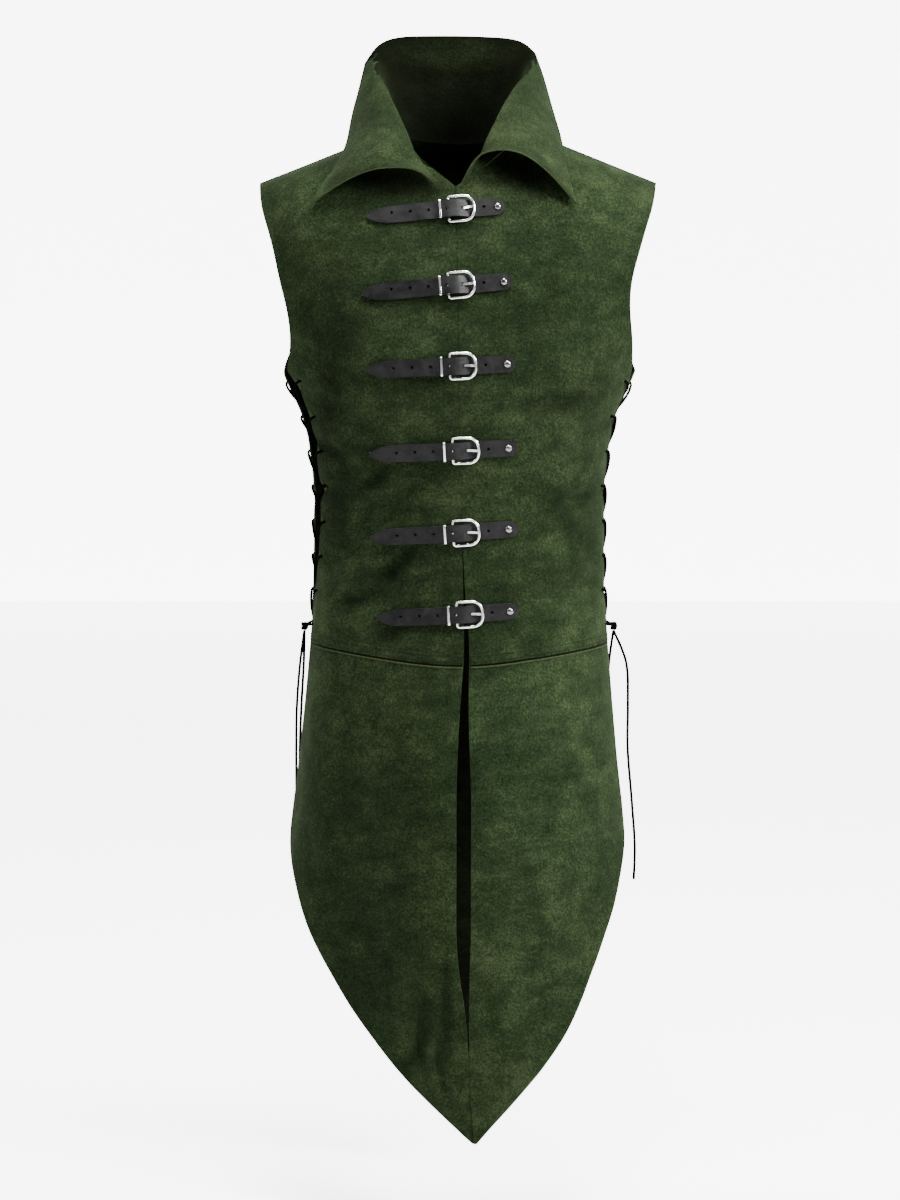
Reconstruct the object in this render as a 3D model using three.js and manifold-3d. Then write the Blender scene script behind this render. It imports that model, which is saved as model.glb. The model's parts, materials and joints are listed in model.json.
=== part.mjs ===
// Suede jerkin with a tall pointed collar, six buckled straps, laced sides and leaf-shaped skirts.
// Millimetres, +Z up. The front faces -Y and the wearer's left is at +X.
// The origin is at the middle of the neck, level with the sewn end of the shoulder seams.
import * as THREE from 'three';
import Module from 'manifold-3d';
import { mergeVertices } from 'three/addons/utils/BufferGeometryUtils.js';

const wasm = await Module();
wasm.setup();

// Driving sizes
const CLOTH = 1.8;
const HALF = CLOTH / 2;
const SEAM = 0.3;
const NECK = { halfWidth: 80, sideHeight: 16, backHeight: 8, frontHeight: -52 };
const SHOULDER = { slope: 0.4, rounding: 68, tip: -43 };
const WAIST = { side: -570, centre: -588 };
const UNDERARM = -258;
const LACE = {
  radius: 1.25, sides: 6, hole: 2.3, inset: 8, first: -272, pitch: 40, pairs: 8,
  endRadius: 1.6, endSteps: 12, endSides: 8,
};
const KNOT = { radius: 4.5, stretch: 1.15, out: 11, below: 4, apart: 1.9, gap: 0.45 };
const STRAP = { width: 19, thick: 2, lie: 0.3, nose: 2.2, keeper: -9, rivetGap: 0.5 };
const BAR = { radius: 2, height: 4.6, wrap: 1.6, clear: 0.3, raise: 2.4 };

// Side edges of the skirts at the waist, in degrees from the centre front, and their cells
const SKIRT = { frontAngle: 84, backAngle: 96, cells: 7, levelFrom: -720 };

// Body sections, from above the shoulder down to the skirt tips
const SECTIONS = [
  { z: 60, halfWidth: 236, front: 70, back: 78, square: 2.3 },
  { z: 0, halfWidth: 236, front: 86, back: 90, square: 2.4 },
  { z: -52, halfWidth: 236, front: 96, back: 95, square: 2.4 },
  { z: -110, halfWidth: 233, front: 112, back: 104, square: 2.4 },
  { z: -180, halfWidth: 224, front: 126, back: 112, square: 2.4 },
  { z: -260, halfWidth: 205, front: 131, back: 114, square: 2.35 },
  { z: -300, halfWidth: 185, front: 129, back: 112, square: 2.3 },
  { z: -340, halfWidth: 175, front: 125, back: 109, square: 2.3 },
  { z: -400, halfWidth: 169, front: 120, back: 106, square: 2.25 },
  { z: -470, halfWidth: 169, front: 117, back: 104, square: 2.2 },
  { z: -570, halfWidth: 173, front: 118, back: 107, square: 2.2 },
  { z: -640, halfWidth: 179, front: 121, back: 111, square: 2.2 },
  { z: -720, halfWidth: 188, front: 124, back: 116, square: 2.2 },
  { z: -810, halfWidth: 201, front: 127, back: 121, square: 2.2 },
  { z: -950, halfWidth: 214, front: 127, back: 124, square: 2.2 },
  { z: -1150, halfWidth: 224, front: 122, back: 124, square: 2.2 },
];

// Soft dents and swells pressed into the hide: where they lie, their reach and how deep they go
const FOLDS = [
  { angle: -34, z: -410, long: 75, wide: 22, depth: -5, turn: 35 },
  { angle: -48, z: -470, long: 60, wide: 20, depth: -4, turn: 20 },
  { angle: -30, z: -520, long: 65, wide: 24, depth: -4, turn: 40 },
  { angle: 40, z: -440, long: 60, wide: 26, depth: -3, turn: -30 },
  { angle: 52, z: -505, long: 50, wide: 22, depth: -3, turn: -20 },
  { angle: -14, z: -985, long: 70, wide: 20, depth: -4, turn: 96 },
  { angle: 28, z: -890, long: 90, wide: 34, depth: 4, turn: 80 },
  { angle: -42, z: -760, long: 90, wide: 36, depth: 4, turn: 85 },
  { angle: 205, z: -450, long: 70, wide: 24, depth: -4, turn: 30 },
  { angle: 152, z: -480, long: 60, wide: 24, depth: -4, turn: -30 },
  { angle: 190, z: -860, long: 100, wide: 36, depth: 4, turn: 88 },
];

// Centre-front edges of the two fronts and of the two skirt halves
const CENTRE = [
  { z: -52, left: -4.5, right: -4.1 },
  { z: -180, left: -1.3, right: -0.9 },
  { z: -300, left: -0.8, right: -0.4 },
  { z: -403, left: 2.1, right: 2.5 },
  { z: -494, left: 4.0, right: 5.6 },
  { z: -517, left: 4.5, right: 7.2 },
  { z: -562, left: 5.4, right: 11.0 },
  { z: -588, left: 4.8, right: 11.3 },
  { z: -629, left: 0.8, right: 9.6 },
  { z: -697, left: -3.2, right: 13.3 },
  { z: -900, left: -3.4, right: 13.4 },
  { z: -946, left: 0.2, right: 11.6 },
  { z: -991, left: 7.4, right: 11.4 },
  { z: -1047, left: 10.9, right: 11.6 },
  { z: -1138, left: 15.8, right: 16.5 },
];

// Side edges below the arm, as angles round the body from the centre front
const SIDES = [
  { z: -258, frontLeft: 71, frontRight: 72, backLeft: 95, backRight: 95 },
  { z: -285, frontLeft: 67, frontRight: 77, backLeft: 86, backRight: 91 },
  { z: -340, frontLeft: 69, frontRight: 80, backLeft: 82, backRight: 92 },
  { z: -420, frontLeft: 68, frontRight: 81, backLeft: 81, backRight: 93 },
  { z: -480, frontLeft: 74, frontRight: 82, backLeft: 86, backRight: 94 },
  { z: -520, frontLeft: 79, frontRight: 83, backLeft: 91, backRight: 95 },
  { z: -570, frontLeft: 84, frontRight: 84, backLeft: 96, backRight: 96 },
];

// Armhole edges, as distances from the middle
const ARMHOLE = [
  { z: -43, left: 230, right: 227, back: 228 },
  { z: -69, left: 227, right: 222, back: 224 },
  { z: -98, left: 218, right: 212, back: 213 },
  { z: -126, left: 210, right: 204, back: 205 },
  { z: -154, left: 205, right: 195, back: 198 },
  { z: -182, left: 197, right: 192, back: 193 },
  { z: -209, left: 190, right: 196, back: 193 },
  { z: -236, left: 191, right: 199, back: 197 },
  { z: -258, left: 196, right: 199, back: 204.8 },
];

// Cut outline of the leaf-shaped skirts, as distances from the middle
const LEAF = [
  { z: -570, left: -172.6, right: 172.6 },
  { z: -640, left: -178.6, right: 177.6 },
  { z: -720, left: -187.4, right: 184 },
  { z: -772, left: -194, right: 191 },
  { z: -801, left: -197.5, right: 193 },
  { z: -828, left: -195, right: 189 },
  { z: -852, left: -189, right: 184 },
  { z: -878, left: -182, right: 178 },
  { z: -904, left: -172, right: 168 },
  { z: -930, left: -158, right: 159 },
  { z: -956, left: -142, right: 148 },
  { z: -983, left: -126, right: 138 },
  { z: -1010, left: -106, right: 126 },
  { z: -1037, left: -86, right: 109 },
  { z: -1065, left: -63, right: 87 },
  { z: -1093, left: -35, right: 63 },
  { z: -1121, left: -6, right: 37 },
  { z: -1141, left: 13, right: 20 },
];

// Collar sections, by the angle round the neck from the centre back: the line where the collar
// rolls over, its free edge, and how far the fall swells forward and up between the two
const COLLAR_LEFT = [
  { round: 0, rollX: 0, rollY: 94, rollZ: 76, edgeX: 0, edgeY: 98, edgeZ: 137, fore: 0, lift: 0 },
  { round: 35, rollX: 54, rollY: 80, rollZ: 78, edgeX: 60, edgeY: 84, edgeZ: 135, fore: 0, lift: 0 },
  { round: 58, rollX: 80, rollY: 60, rollZ: 82, edgeX: 90, edgeY: 68, edgeZ: 128, fore: 0, lift: 1 },
  { round: 74, rollX: 92, rollY: 38, rollZ: 86, edgeX: 108, edgeY: 50, edgeZ: 104, fore: -2, lift: 7 },
  { round: 90, rollX: 84, rollY: 8, rollZ: 70, edgeX: 118, edgeY: 25, edgeZ: 60, fore: -3, lift: 14 },
  { round: 108, rollX: 71, rollY: -26, rollZ: 40, edgeX: 126, edgeY: -6, edgeZ: 24, fore: -8, lift: 16 },
  { round: 122, rollX: 61, rollY: -55, rollZ: 17, edgeX: 127, edgeY: -34, edgeZ: 2, fore: -14, lift: 14 },
  { round: 136, rollX: 53, rollY: -77, rollZ: -5, edgeX: 141, edgeY: -62, edgeZ: -28, fore: -20, lift: 14 },
  { round: 150, rollX: 46, rollY: -91, rollZ: -26, edgeX: 155, edgeY: -77, edgeZ: -49, fore: -24, lift: 14 },
  { round: 165, rollX: 47, rollY: -106, rollZ: -32, edgeX: 168, edgeY: -84, edgeZ: -71, fore: -20, lift: 16 },
];
const COLLAR_RIGHT = [
  { round: 0, rollX: 0, rollY: 94, rollZ: 76, edgeX: 0, edgeY: 98, edgeZ: 137, fore: 0, lift: 0 },
  { round: 35, rollX: 52, rollY: 80, rollZ: 78, edgeX: 58, edgeY: 84, edgeZ: 133, fore: 0, lift: 0 },
  { round: 58, rollX: 73, rollY: 60, rollZ: 80, edgeX: 83, edgeY: 68, edgeZ: 123, fore: 0, lift: 1 },
  { round: 74, rollX: 78, rollY: 38, rollZ: 84, edgeX: 94, edgeY: 50, edgeZ: 101, fore: -2, lift: 7 },
  { round: 90, rollX: 66, rollY: 8, rollZ: 70, edgeX: 104, edgeY: 25, edgeZ: 60, fore: -3, lift: 14 },
  { round: 108, rollX: 49, rollY: -28, rollZ: 42, edgeX: 112, edgeY: -6, edgeZ: 27, fore: -8, lift: 16 },
  { round: 124, rollX: 38, rollY: -54, rollZ: 18, edgeX: 117, edgeY: -36, edgeZ: 5, fore: -14, lift: 16 },
  { round: 140, rollX: 27, rollY: -76, rollZ: -4, edgeX: 120, edgeY: -66, edgeZ: -21, fore: -20, lift: 16 },
  { round: 158, rollX: 21, rollY: -92, rollZ: -18, edgeX: 125, edgeY: -84, edgeZ: -46, fore: -24, lift: 18 },
  { round: 176, rollX: 24, rollY: -108, rollZ: -16, edgeX: 131, edgeY: -97, edgeZ: -71, fore: -18, lift: 26 },
];
const COLLAR = {
  sections: 13, stops: [0, 0.13, 0.26, 0.38, 0.5, 0.62, 0.8, 1], seat: 3.3, lastRight: 176, lastLeft: 165,
};

// The six straps, measured along each strap from the buckle's bar
const STRAPS = [
  { z: -80, bar: -12.4, tip: -91.5, rivet: 55.4, end: 63, tilt: 4.3 },
  { z: -165, bar: -12.4, tip: -97, rivet: 62, end: 71, tilt: 4.6 },
  { z: -254, bar: -10.7, tip: -93, rivet: 64, end: 73, tilt: 2.4 },
  { z: -348, bar: -7.3, tip: -93, rivet: 62, end: 72, tilt: 2.8 },
  { z: -441, bar: -6.8, tip: -94, rivet: 62, end: 73, tilt: 3.9 },
  { z: -533.5, bar: -2.8, tip: -91, rivet: 59.5, end: 69.5, tilt: 3.6 },
];

// Height of the strap's middle over the hide, along the strap from the buckle's bar
const STRAP_RISE = [
  { s: -78, height: 1.9 },
  { s: -44, height: 1.9 },
  { s: -38, height: 3.4 },
  { s: -33, height: 5.0 },
  { s: -18, height: 5.1 },
  { s: -13, height: 5.8 },
  { s: -9, height: 7.0 },
  { s: -4.5, height: 8.9 },
  { s: 0, height: 10.0 },
  { s: 5, height: 9.7 },
  { s: 10, height: 8.7 },
  { s: 14, height: 7.2 },
  { s: 21.5, height: 2.8 },
  { s: 26.5, height: 1.5 },
  { s: 40, height: 1.8 },
];
const SLOT = { start: 14, end: 21.5, halfShare: 0.2 };

const FINISH = {
  suede: new THREE.MeshStandardMaterial({ color: 0x37472b, roughness: 0.95, metalness: 0 }),
  strap: new THREE.MeshStandardMaterial({ color: 0x1d1d1f, roughness: 0.45, metalness: 0 }),
  nickel: new THREE.MeshStandardMaterial({ color: 0xc9c9c6, roughness: 0.22, metalness: 1 }),
  cord: new THREE.MeshStandardMaterial({ color: 0x141416, roughness: 0.6, metalness: 0 }),
};

const radians = THREE.MathUtils.degToRad;
const lerp = THREE.MathUtils.lerp;
const clamp = THREE.MathUtils.clamp;

/** Smooth value of one named column of a table at a place between its rows. */
function along(table, column, at, key = 'z') {
  const falling = table[0][key] > table[table.length - 1][key];
  const rows = falling ? [...table].reverse() : table;
  const last = rows.length - 1;
  if (at <= rows[0][key]) return rows[0][column];
  if (at >= rows[last][key]) return rows[last][column];
  let i = 0;
  while (rows[i + 1][key] < at) i += 1;
  const slope = (a, b) => (rows[b][column] - rows[a][column]) / (rows[b][key] - rows[a][key]);
  const here = slope(i, i + 1);
  const before = i > 0 ? slope(i - 1, i) : here;
  const after = i < last - 1 ? slope(i + 1, i + 2) : here;
  const blend = (p, q) => (p * q <= 0 ? 0 : (2 * p * q) / (p + q));
  const span = rows[i + 1][key] - rows[i][key];
  const t = (at - rows[i][key]) / span;
  const h00 = 2 * t ** 3 - 3 * t ** 2 + 1;
  const h10 = t ** 3 - 2 * t ** 2 + t;
  const h01 = 3 * t ** 2 - 2 * t ** 3;
  const h11 = t ** 3 - t ** 2;
  return h00 * rows[i][column] + h10 * span * blend(before, here)
    + h01 * rows[i + 1][column] + h11 * span * blend(here, after);
}

/** Height of the shoulder ridge at a distance from the middle. */
function shoulderLine(x) {
  return NECK.sideHeight - SHOULDER.slope * (Math.abs(x) - NECK.halfWidth);
}

/** Depth of the dents and swells at a place on the body. */
function foldDepth(angle, z) {
  let depth = 0;
  for (const fold of FOLDS) {
    let turn = angle - fold.angle;
    if (turn > 180) turn -= 360;
    if (turn < -180) turn += 360;
    const across = radians(turn) * along(SECTIONS, 'front', z) * 1.25;
    const up = z - fold.z;
    const tilt = radians(fold.turn);
    const run = across * Math.cos(tilt) + up * Math.sin(tilt);
    const off = up * Math.cos(tilt) - across * Math.sin(tilt);
    depth += fold.depth * Math.exp(-((run / fold.long) ** 2) - (off / fold.wide) ** 2);
  }
  return depth;
}

/** Point on the middle of the cloth, by its angle in degrees from the centre front and its height. */
function bodyPoint(angle, z) {
  const turn = radians(angle);
  const power = 2 / along(SECTIONS, 'square', z);
  const sin = Math.sin(turn);
  const cos = Math.cos(turn);
  const depth = along(SECTIONS, cos >= 0 ? 'front' : 'back', z);
  const x = along(SECTIONS, 'halfWidth', z) * Math.sign(sin) * Math.abs(sin) ** power;
  const share = clamp((shoulderLine(x) - z) / SHOULDER.rounding, 0, 1);
  const closing = Math.sqrt(1 - (1 - share) ** 2);
  const y = -Math.sign(cos) * (SEAM / 2 + depth * Math.abs(cos) ** power * closing);
  const dent = foldDepth(angle, z);
  return new THREE.Vector3(x + sin * dent, y - cos * dent, z);
}

/** Outward direction of the cloth at a place. */
function bodyNormal(angle, z) {
  const across = bodyPoint(angle + 0.5, z).sub(bodyPoint(angle - 0.5, z));
  const up = bodyPoint(angle, z + 1.5).sub(bodyPoint(angle, z - 1.5));
  return across.cross(up).normalize();
}

/** Angle of a place on the front, from its distance to the middle. */
function angleAt(x, z) {
  const share = clamp(Math.abs(x) / along(SECTIONS, 'halfWidth', z), 0, 1);
  const sine = share ** (along(SECTIONS, 'square', z) / 2);
  return Math.sign(x) * THREE.MathUtils.radToDeg(Math.asin(Math.min(1, sine)));
}

/** Height of the neckline at a distance from the middle, at the back or at the front. */
function neckHeight(x, behind) {
  const share = clamp(Math.abs(x) / NECK.halfWidth, 0, 1);
  return behind
    ? lerp(NECK.backHeight, NECK.sideHeight, share ** 2)
    : lerp(NECK.frontHeight, NECK.sideHeight, share ** 1.15);
}

/** Closed wall of even thickness about a grid of points, with any lacing holes and left-out cells. */
function wallSolid(grid, { thick = CLOTH, flatten = null, holes = [], leftOut = [] } = {}) {
  const rows = grid.length;
  const cols = grid[0].length;
  const normals = grid.map((row, i) => row.map((point, j) => {
    const across = row[Math.min(j + 1, cols - 1)].clone().sub(row[Math.max(j - 1, 0)]);
    const up = grid[Math.min(i + 1, rows - 1)][j].clone().sub(grid[Math.max(i - 1, 0)][j]);
    const normal = across.cross(up).normalize();
    if (flatten) flatten(i, j, normal);
    return normal.normalize();
  }));
  const points = [];
  const faces = [];
  const put = (point, normal, out) => points.push(point.clone().addScaledVector(normal, out)) - 1;
  const outer = grid.map((row, i) => row.map((point, j) => put(point, normals[i][j], thick / 2)));
  const inner = grid.map((row, i) => row.map((point, j) => put(point, normals[i][j], -thick / 2)));
  const named = (list, i, j) => list.some((cell) => cell.i === i && cell.j === j);
  const present = (i, j) => i >= 0 && j >= 0 && i < rows - 1 && j < cols - 1 && !named(leftOut, i, j);
  const corners = (i, j) => [[i, j], [i, j + 1], [i + 1, j + 1], [i + 1, j]];
  const sideCell = (i, j) => [[i - 1, j], [i, j + 1], [i + 1, j], [i, j - 1]];
  for (let i = 0; i < rows - 1; i += 1) {
    for (let j = 0; j < cols - 1; j += 1) {
      if (!present(i, j)) continue;
      const around = corners(i, j);
      if (named(holes, i, j)) {
        punch(around);
      } else {
        const [a, b, c, d] = around.map(([p, q]) => outer[p][q]);
        const [e, f, g, h] = around.map(([p, q]) => inner[p][q]);
        faces.push([a, b, c], [a, c, d], [e, g, f], [e, h, g]);
      }
      sideCell(i, j).forEach(([p, q], side) => {
        if (present(p, q)) return;
        const [from, to] = [around[side], around[(side + 1) % 4]];
        const [a, b] = [outer[from[0]][from[1]], outer[to[0]][to[1]]];
        const [c, d] = [inner[from[0]][from[1]], inner[to[0]][to[1]]];
        faces.push([b, a, c], [b, c, d]);
      });
    }
  }

  /** Replaces one cell by a round lacing hole with eight sides. */
  function punch(around) {
    const centre = new THREE.Vector3();
    const normal = new THREE.Vector3();
    around.forEach(([p, q]) => {
      centre.addScaledVector(grid[p][q], 0.25);
      normal.add(normals[p][q]);
    });
    normal.normalize();
    const along1 = grid[around[1][0]][around[1][1]].clone().sub(grid[around[0][0]][around[0][1]]);
    const up = normal.clone().cross(along1).normalize();
    const right = up.clone().cross(normal);
    const ring = [[], []];
    for (let k = 0; k < 8; k += 1) {
      const turn = radians(225 + 45 * k);
      const spot = centre.clone()
        .addScaledVector(right, LACE.hole * Math.cos(turn))
        .addScaledVector(up, LACE.hole * Math.sin(turn));
      ring[0].push(put(spot, normal, thick / 2));
      ring[1].push(put(spot, normal, -thick / 2));
    }
    [outer, inner].forEach((layer, face) => {
      const add = (a, b, c) => faces.push(face === 0 ? [a, b, c] : [a, c, b]);
      around.forEach(([p, q], k) => {
        const here = layer[p][q];
        const next = layer[around[(k + 1) % 4][0]][around[(k + 1) % 4][1]];
        const at = ring[face];
        add(here, next, at[(2 * k + 1) % 8]);
        add(here, at[(2 * k + 1) % 8], at[2 * k]);
        add(here, at[2 * k], at[(2 * k + 7) % 8]);
      });
    });
    for (let k = 0; k < 8; k += 1) {
      const n = (k + 1) % 8;
      faces.push([ring[0][k], ring[0][n], ring[1][n]], [ring[0][k], ring[1][n], ring[1][k]]);
    }
  }

  const geometry = new THREE.BufferGeometry().setFromPoints(points);
  geometry.setIndex(faces.flat());
  geometry.computeVertexNormals();
  return geometry;
}

/** Fills a four-sided patch of angles and heights from its bottom, top, inner and outer edges. */
function patch(columns, rows, { bottom, top, inner, outer }) {
  const corner = [[bottom(0), bottom(1)], [top(0), top(1)]];
  return rows.map((w) => columns.map((c) => {
    const mix = (k) => (1 - w) * bottom(c)[k] + w * top(c)[k] + (1 - c) * inner(w)[k] + c * outer(w)[k]
      - (1 - c) * (1 - w) * corner[0][0][k] - c * (1 - w) * corner[0][1][k]
      - (1 - c) * w * corner[1][0][k] - c * w * corner[1][1][k];
    return [mix(0), mix(1)];
  }));
}

// Rows of the chest and back panels, as heights on their side edge and armhole
const EYELETS = Array.from({ length: LACE.pairs }, (_, k) => LACE.first - LACE.pitch * k).reverse();
const SIDE_ROWS = [WAIST.side, ...EYELETS.flatMap((z) => [z - 7, z + 7]), UNDERARM];
const ARM_DROPS = [182, 146, 112, 80, 54, 34, 19, 8, 2, 0];
const PANEL_ROWS = [...SIDE_ROWS, ...ARM_DROPS.map((drop) => SHOULDER.tip - drop)];
const PANEL_COLUMNS = 8;
const PANEL_BREADTH = 225;
const HEIGHT = SHOULDER.tip - WAIST.side;
const panelShares = PANEL_ROWS.map((z) => (z - WAIST.side) / HEIGHT);
const sideHeight = (w) => WAIST.side + w * HEIGHT;
const isHoleRow = (i) => i % 2 === 1 && i < SIDE_ROWS.length - 1;

/** Height of the waist seam at an angle: lowest at the centre front. */
function waistHeight(angle) {
  return lerp(WAIST.side, WAIST.centre, Math.cos(radians(angle)) ** 2);
}

/** Shares across a panel, with the last cell as wide as the lacing margin. */
function columnShares(count, width) {
  const margin = (2 * LACE.inset) / width;
  const even = Array.from({ length: count }, (_, k) => ((1 - margin) * k) / (count - 1));
  return [...even, 1];
}

/** One chest panel, from the centre front to the side edge. */
function frontGrid(side) {
  const name = side < 0 ? 'left' : 'right';
  const column = side < 0 ? 'frontLeft' : 'frontRight';
  const neckShare = 0.4;
  const centreEdge = (z) => angleAt(along(CENTRE, name, z), z);
  const outer = (w) => {
    const z = sideHeight(w);
    const onArm = z > UNDERARM;
    return [onArm ? side * Math.abs(angleAt(along(ARMHOLE, name, z), z)) : side * along(SIDES, column, z), z];
  };
  const top = (c) => {
    const start = along(CENTRE, name, NECK.frontHeight);
    if (c < neckShare) {
      const x = lerp(start, side * NECK.halfWidth, Math.sin((c / neckShare) * Math.PI / 2));
      const z = neckHeight(x, false);
      return [angleAt(x, z), z];
    }
    const tip = along(ARMHOLE, name, SHOULDER.tip);
    const x = side * lerp(NECK.halfWidth, tip, (c - neckShare) / (1 - neckShare));
    return [angleAt(x, shoulderLine(x)), shoulderLine(x)];
  };
  const inner = (w) => {
    const z = lerp(WAIST.centre, NECK.frontHeight, w);
    return [centreEdge(z), z];
  };
  const last = outer(0)[0];
  const bottom = (c) => {
    const angle = lerp(centreEdge(WAIST.centre), last, c);
    return [angle, c === 0 ? WAIST.centre : c === 1 ? WAIST.side : waistHeight(angle)];
  };
  const grid = patch(columnShares(PANEL_COLUMNS, PANEL_BREADTH), panelShares, { bottom, top, inner, outer });
  return grid.map((row) => row.map(([angle, z]) => bodyPoint(angle, z)));
}

/** The back panel, from the image-right side edge round to the image-left one. */
function backGrid() {
  const neckShare = 0.2;
  const edge = (side) => (w) => {
    const z = sideHeight(w);
    const column = side > 0 ? 'backRight' : 'backLeft';
    const angle = z > UNDERARM ? 180 - angleAt(along(ARMHOLE, 'back', z), z) : along(SIDES, column, z);
    return [side > 0 ? angle : 360 - angle, z];
  };
  const top = (c) => {
    const off = (c - 0.5) * 2;
    const side = off < 0 ? 1 : -1;
    const share = Math.abs(off);
    const reach = 2 * neckShare;
    const tip = along(ARMHOLE, 'back', SHOULDER.tip);
    const x = share < reach
      ? NECK.halfWidth * Math.sin((share / reach) * Math.PI / 2)
      : lerp(NECK.halfWidth, tip, (share - reach) / (1 - reach));
    const z = share < reach ? neckHeight(x, true) : shoulderLine(x);
    return [180 - side * angleAt(x, z), z];
  };
  const inner = edge(1);
  const outer = edge(-1);
  const bottom = (c) => [lerp(inner(0)[0], outer(0)[0], c), WAIST.side];
  const half = columnShares(PANEL_COLUMNS, PANEL_BREADTH).map((c) => (1 - c) / 2);
  const columns = [...half.reverse(), ...half.slice(0, -1).reverse().map((c) => 1 - c)];
  const grid = patch(columns, panelShares, { bottom, top, inner, outer });
  return grid.map((row) => row.map(([angle, z]) => bodyPoint(angle, z)));
}

/** One half of the front skirt, or the whole back skirt. */
function skirtGrid(kind) {
  const rows = LEAF.map((row) => row.z);
  const cells = kind === 'back' ? 2 * SKIRT.cells : SKIRT.cells;
  const leafAngle = (name, z) => angleAt(along(LEAF, name, z), z);
  return rows.map((z, i) => {
    let from = angleAt(along(CENTRE, kind, z), z);
    let to = leafAngle(kind, z);
    if (kind === 'back') {
      from = 180 - leafAngle('right', z);
      to = 180 - leafAngle('left', z);
    }
    if (i === 0) {
      to = kind === 'back' ? 360 - SKIRT.backAngle : SKIRT.frontAngle * Math.sign(to);
      from = kind === 'back' ? SKIRT.backAngle : angleAt(along(CENTRE, kind, WAIST.centre), WAIST.centre);
    }
    const columns = Array.from({ length: cells + 1 }, (_, j) => lerp(from, to, j / cells));
    return columns.map((angle) => {
      const dip = kind === 'back' ? 0 : waistHeight(angle) - WAIST.side;
      const fade = clamp((z - SKIRT.levelFrom) / (WAIST.side - SKIRT.levelFrom), 0, 1);
      return bodyPoint(angle, z - (i === 0 ? SEAM : 0) + dip * fade);
    });
  }).reverse();
}

/** Turns a grid whose columns run against the angle, so that its faces point out. */
function turned(grid) {
  return grid.map((row) => [...row].reverse());
}

/** Point of the neckline at an angle round the neck from the centre back. */
function neckPoint(side, round) {
  const behind = round <= 90;
  const start = behind ? 0 : along(CENTRE, side < 0 ? 'left' : 'right', NECK.frontHeight);
  const x = lerp(start, side * NECK.halfWidth, Math.sin(radians(round)));
  const z = neckHeight(x, behind);
  const angle = behind ? 180 - angleAt(x, z) : angleAt(x, z);
  const spot = bodyPoint(angle, z);
  const forward = clamp((round - 105) / 40, 0, 1);
  const inward = new THREE.Vector3(-spot.x, 0, 0).normalize().multiplyScalar(0.3 * (1 - forward));
  const seat = new THREE.Vector3(0, -0.9 * forward, 0.55 - 0.2 * forward).add(inward);
  return spot.addScaledVector(seat, COLLAR.seat);
}

/** The collar's grid: its columns run round the neck, its rows from the neckline to the free edge. */
function collarGrid() {
  const column = (table, side, round) => {
    const at = (name) => along(table, name, round, 'round');
    const base = neckPoint(side, round);
    const roll = new THREE.Vector3(side * at('rollX'), at('rollY'), at('rollZ'));
    const edge = new THREE.Vector3(side * at('edgeX'), at('edgeY'), at('edgeZ'));
    const fall = roll.clone().lerp(edge, 0.5).add(new THREE.Vector3(0, at('fore'), at('lift')));
    const path = new THREE.CatmullRomCurve3([base, roll, fall, edge], false, 'centripetal');
    return COLLAR.stops.map((share) => path.getPoint(share));
  };
  const { sections } = COLLAR;
  const rounds = (last) => Array.from({ length: sections + 1 }, (_, k) => (last * k) / sections);
  const right = rounds(COLLAR.lastRight).map((round) => column(COLLAR_RIGHT, 1, round));
  const left = rounds(COLLAR.lastLeft).map((round) => column(COLLAR_LEFT, -1, round));
  const columns = [...right.reverse(), ...left.slice(1)];
  return columns[0].map((_, i) => columns.map((points) => points[i]));
}

const frontLeft = turned(frontGrid(-1));
const frontRight = frontGrid(1);
const frontFacets = [frontLeft, frontRight].flatMap((grid) => grid.slice(1).flatMap((row, i) => {
  return row.slice(1).flatMap((corner, j) => {
    const [a, b, c, d] = [grid[i][j], grid[i][j + 1], corner, row[j]];
    return [new THREE.Triangle(a, b, c), new THREE.Triangle(a, c, d)];
  });
}));

/** Depth of the fronts' flat facets at a place, or null beside them. */
function facetDepth(x, z) {
  for (const { a, b, c } of frontFacets) {
    const area = (b.x - a.x) * (c.z - a.z) - (c.x - a.x) * (b.z - a.z);
    const v = ((x - a.x) * (c.z - a.z) - (c.x - a.x) * (z - a.z)) / area;
    const w = ((b.x - a.x) * (z - a.z) - (x - a.x) * (b.z - a.z)) / area;
    if (v >= 0 && w >= 0 && v + w <= 1) return a.y + v * (b.y - a.y) + w * (c.y - a.y);
  }
  return null;
}

/** Place on the fronts by its distance from the middle and its height, lifted off the hide. */
function onFront(x, z, height) {
  const angle = angleAt(x, z);
  const spot = bodyPoint(angle, z);
  const depth = facetDepth(x, z);
  if (depth !== null) spot.y = Math.min(spot.y, depth);
  return spot.addScaledVector(bodyNormal(angle, z), HALF + height);
}

/** Place beside a strap's bar: along the strap, across it and up off the hide. */
function onStrap(strap, s, t, height) {
  const turn = radians(strap.tilt);
  const x = strap.bar + s * Math.cos(turn) - t * Math.sin(turn);
  const z = strap.z + s * Math.sin(turn) + t * Math.cos(turn);
  return onFront(x, z, height);
}

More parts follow.
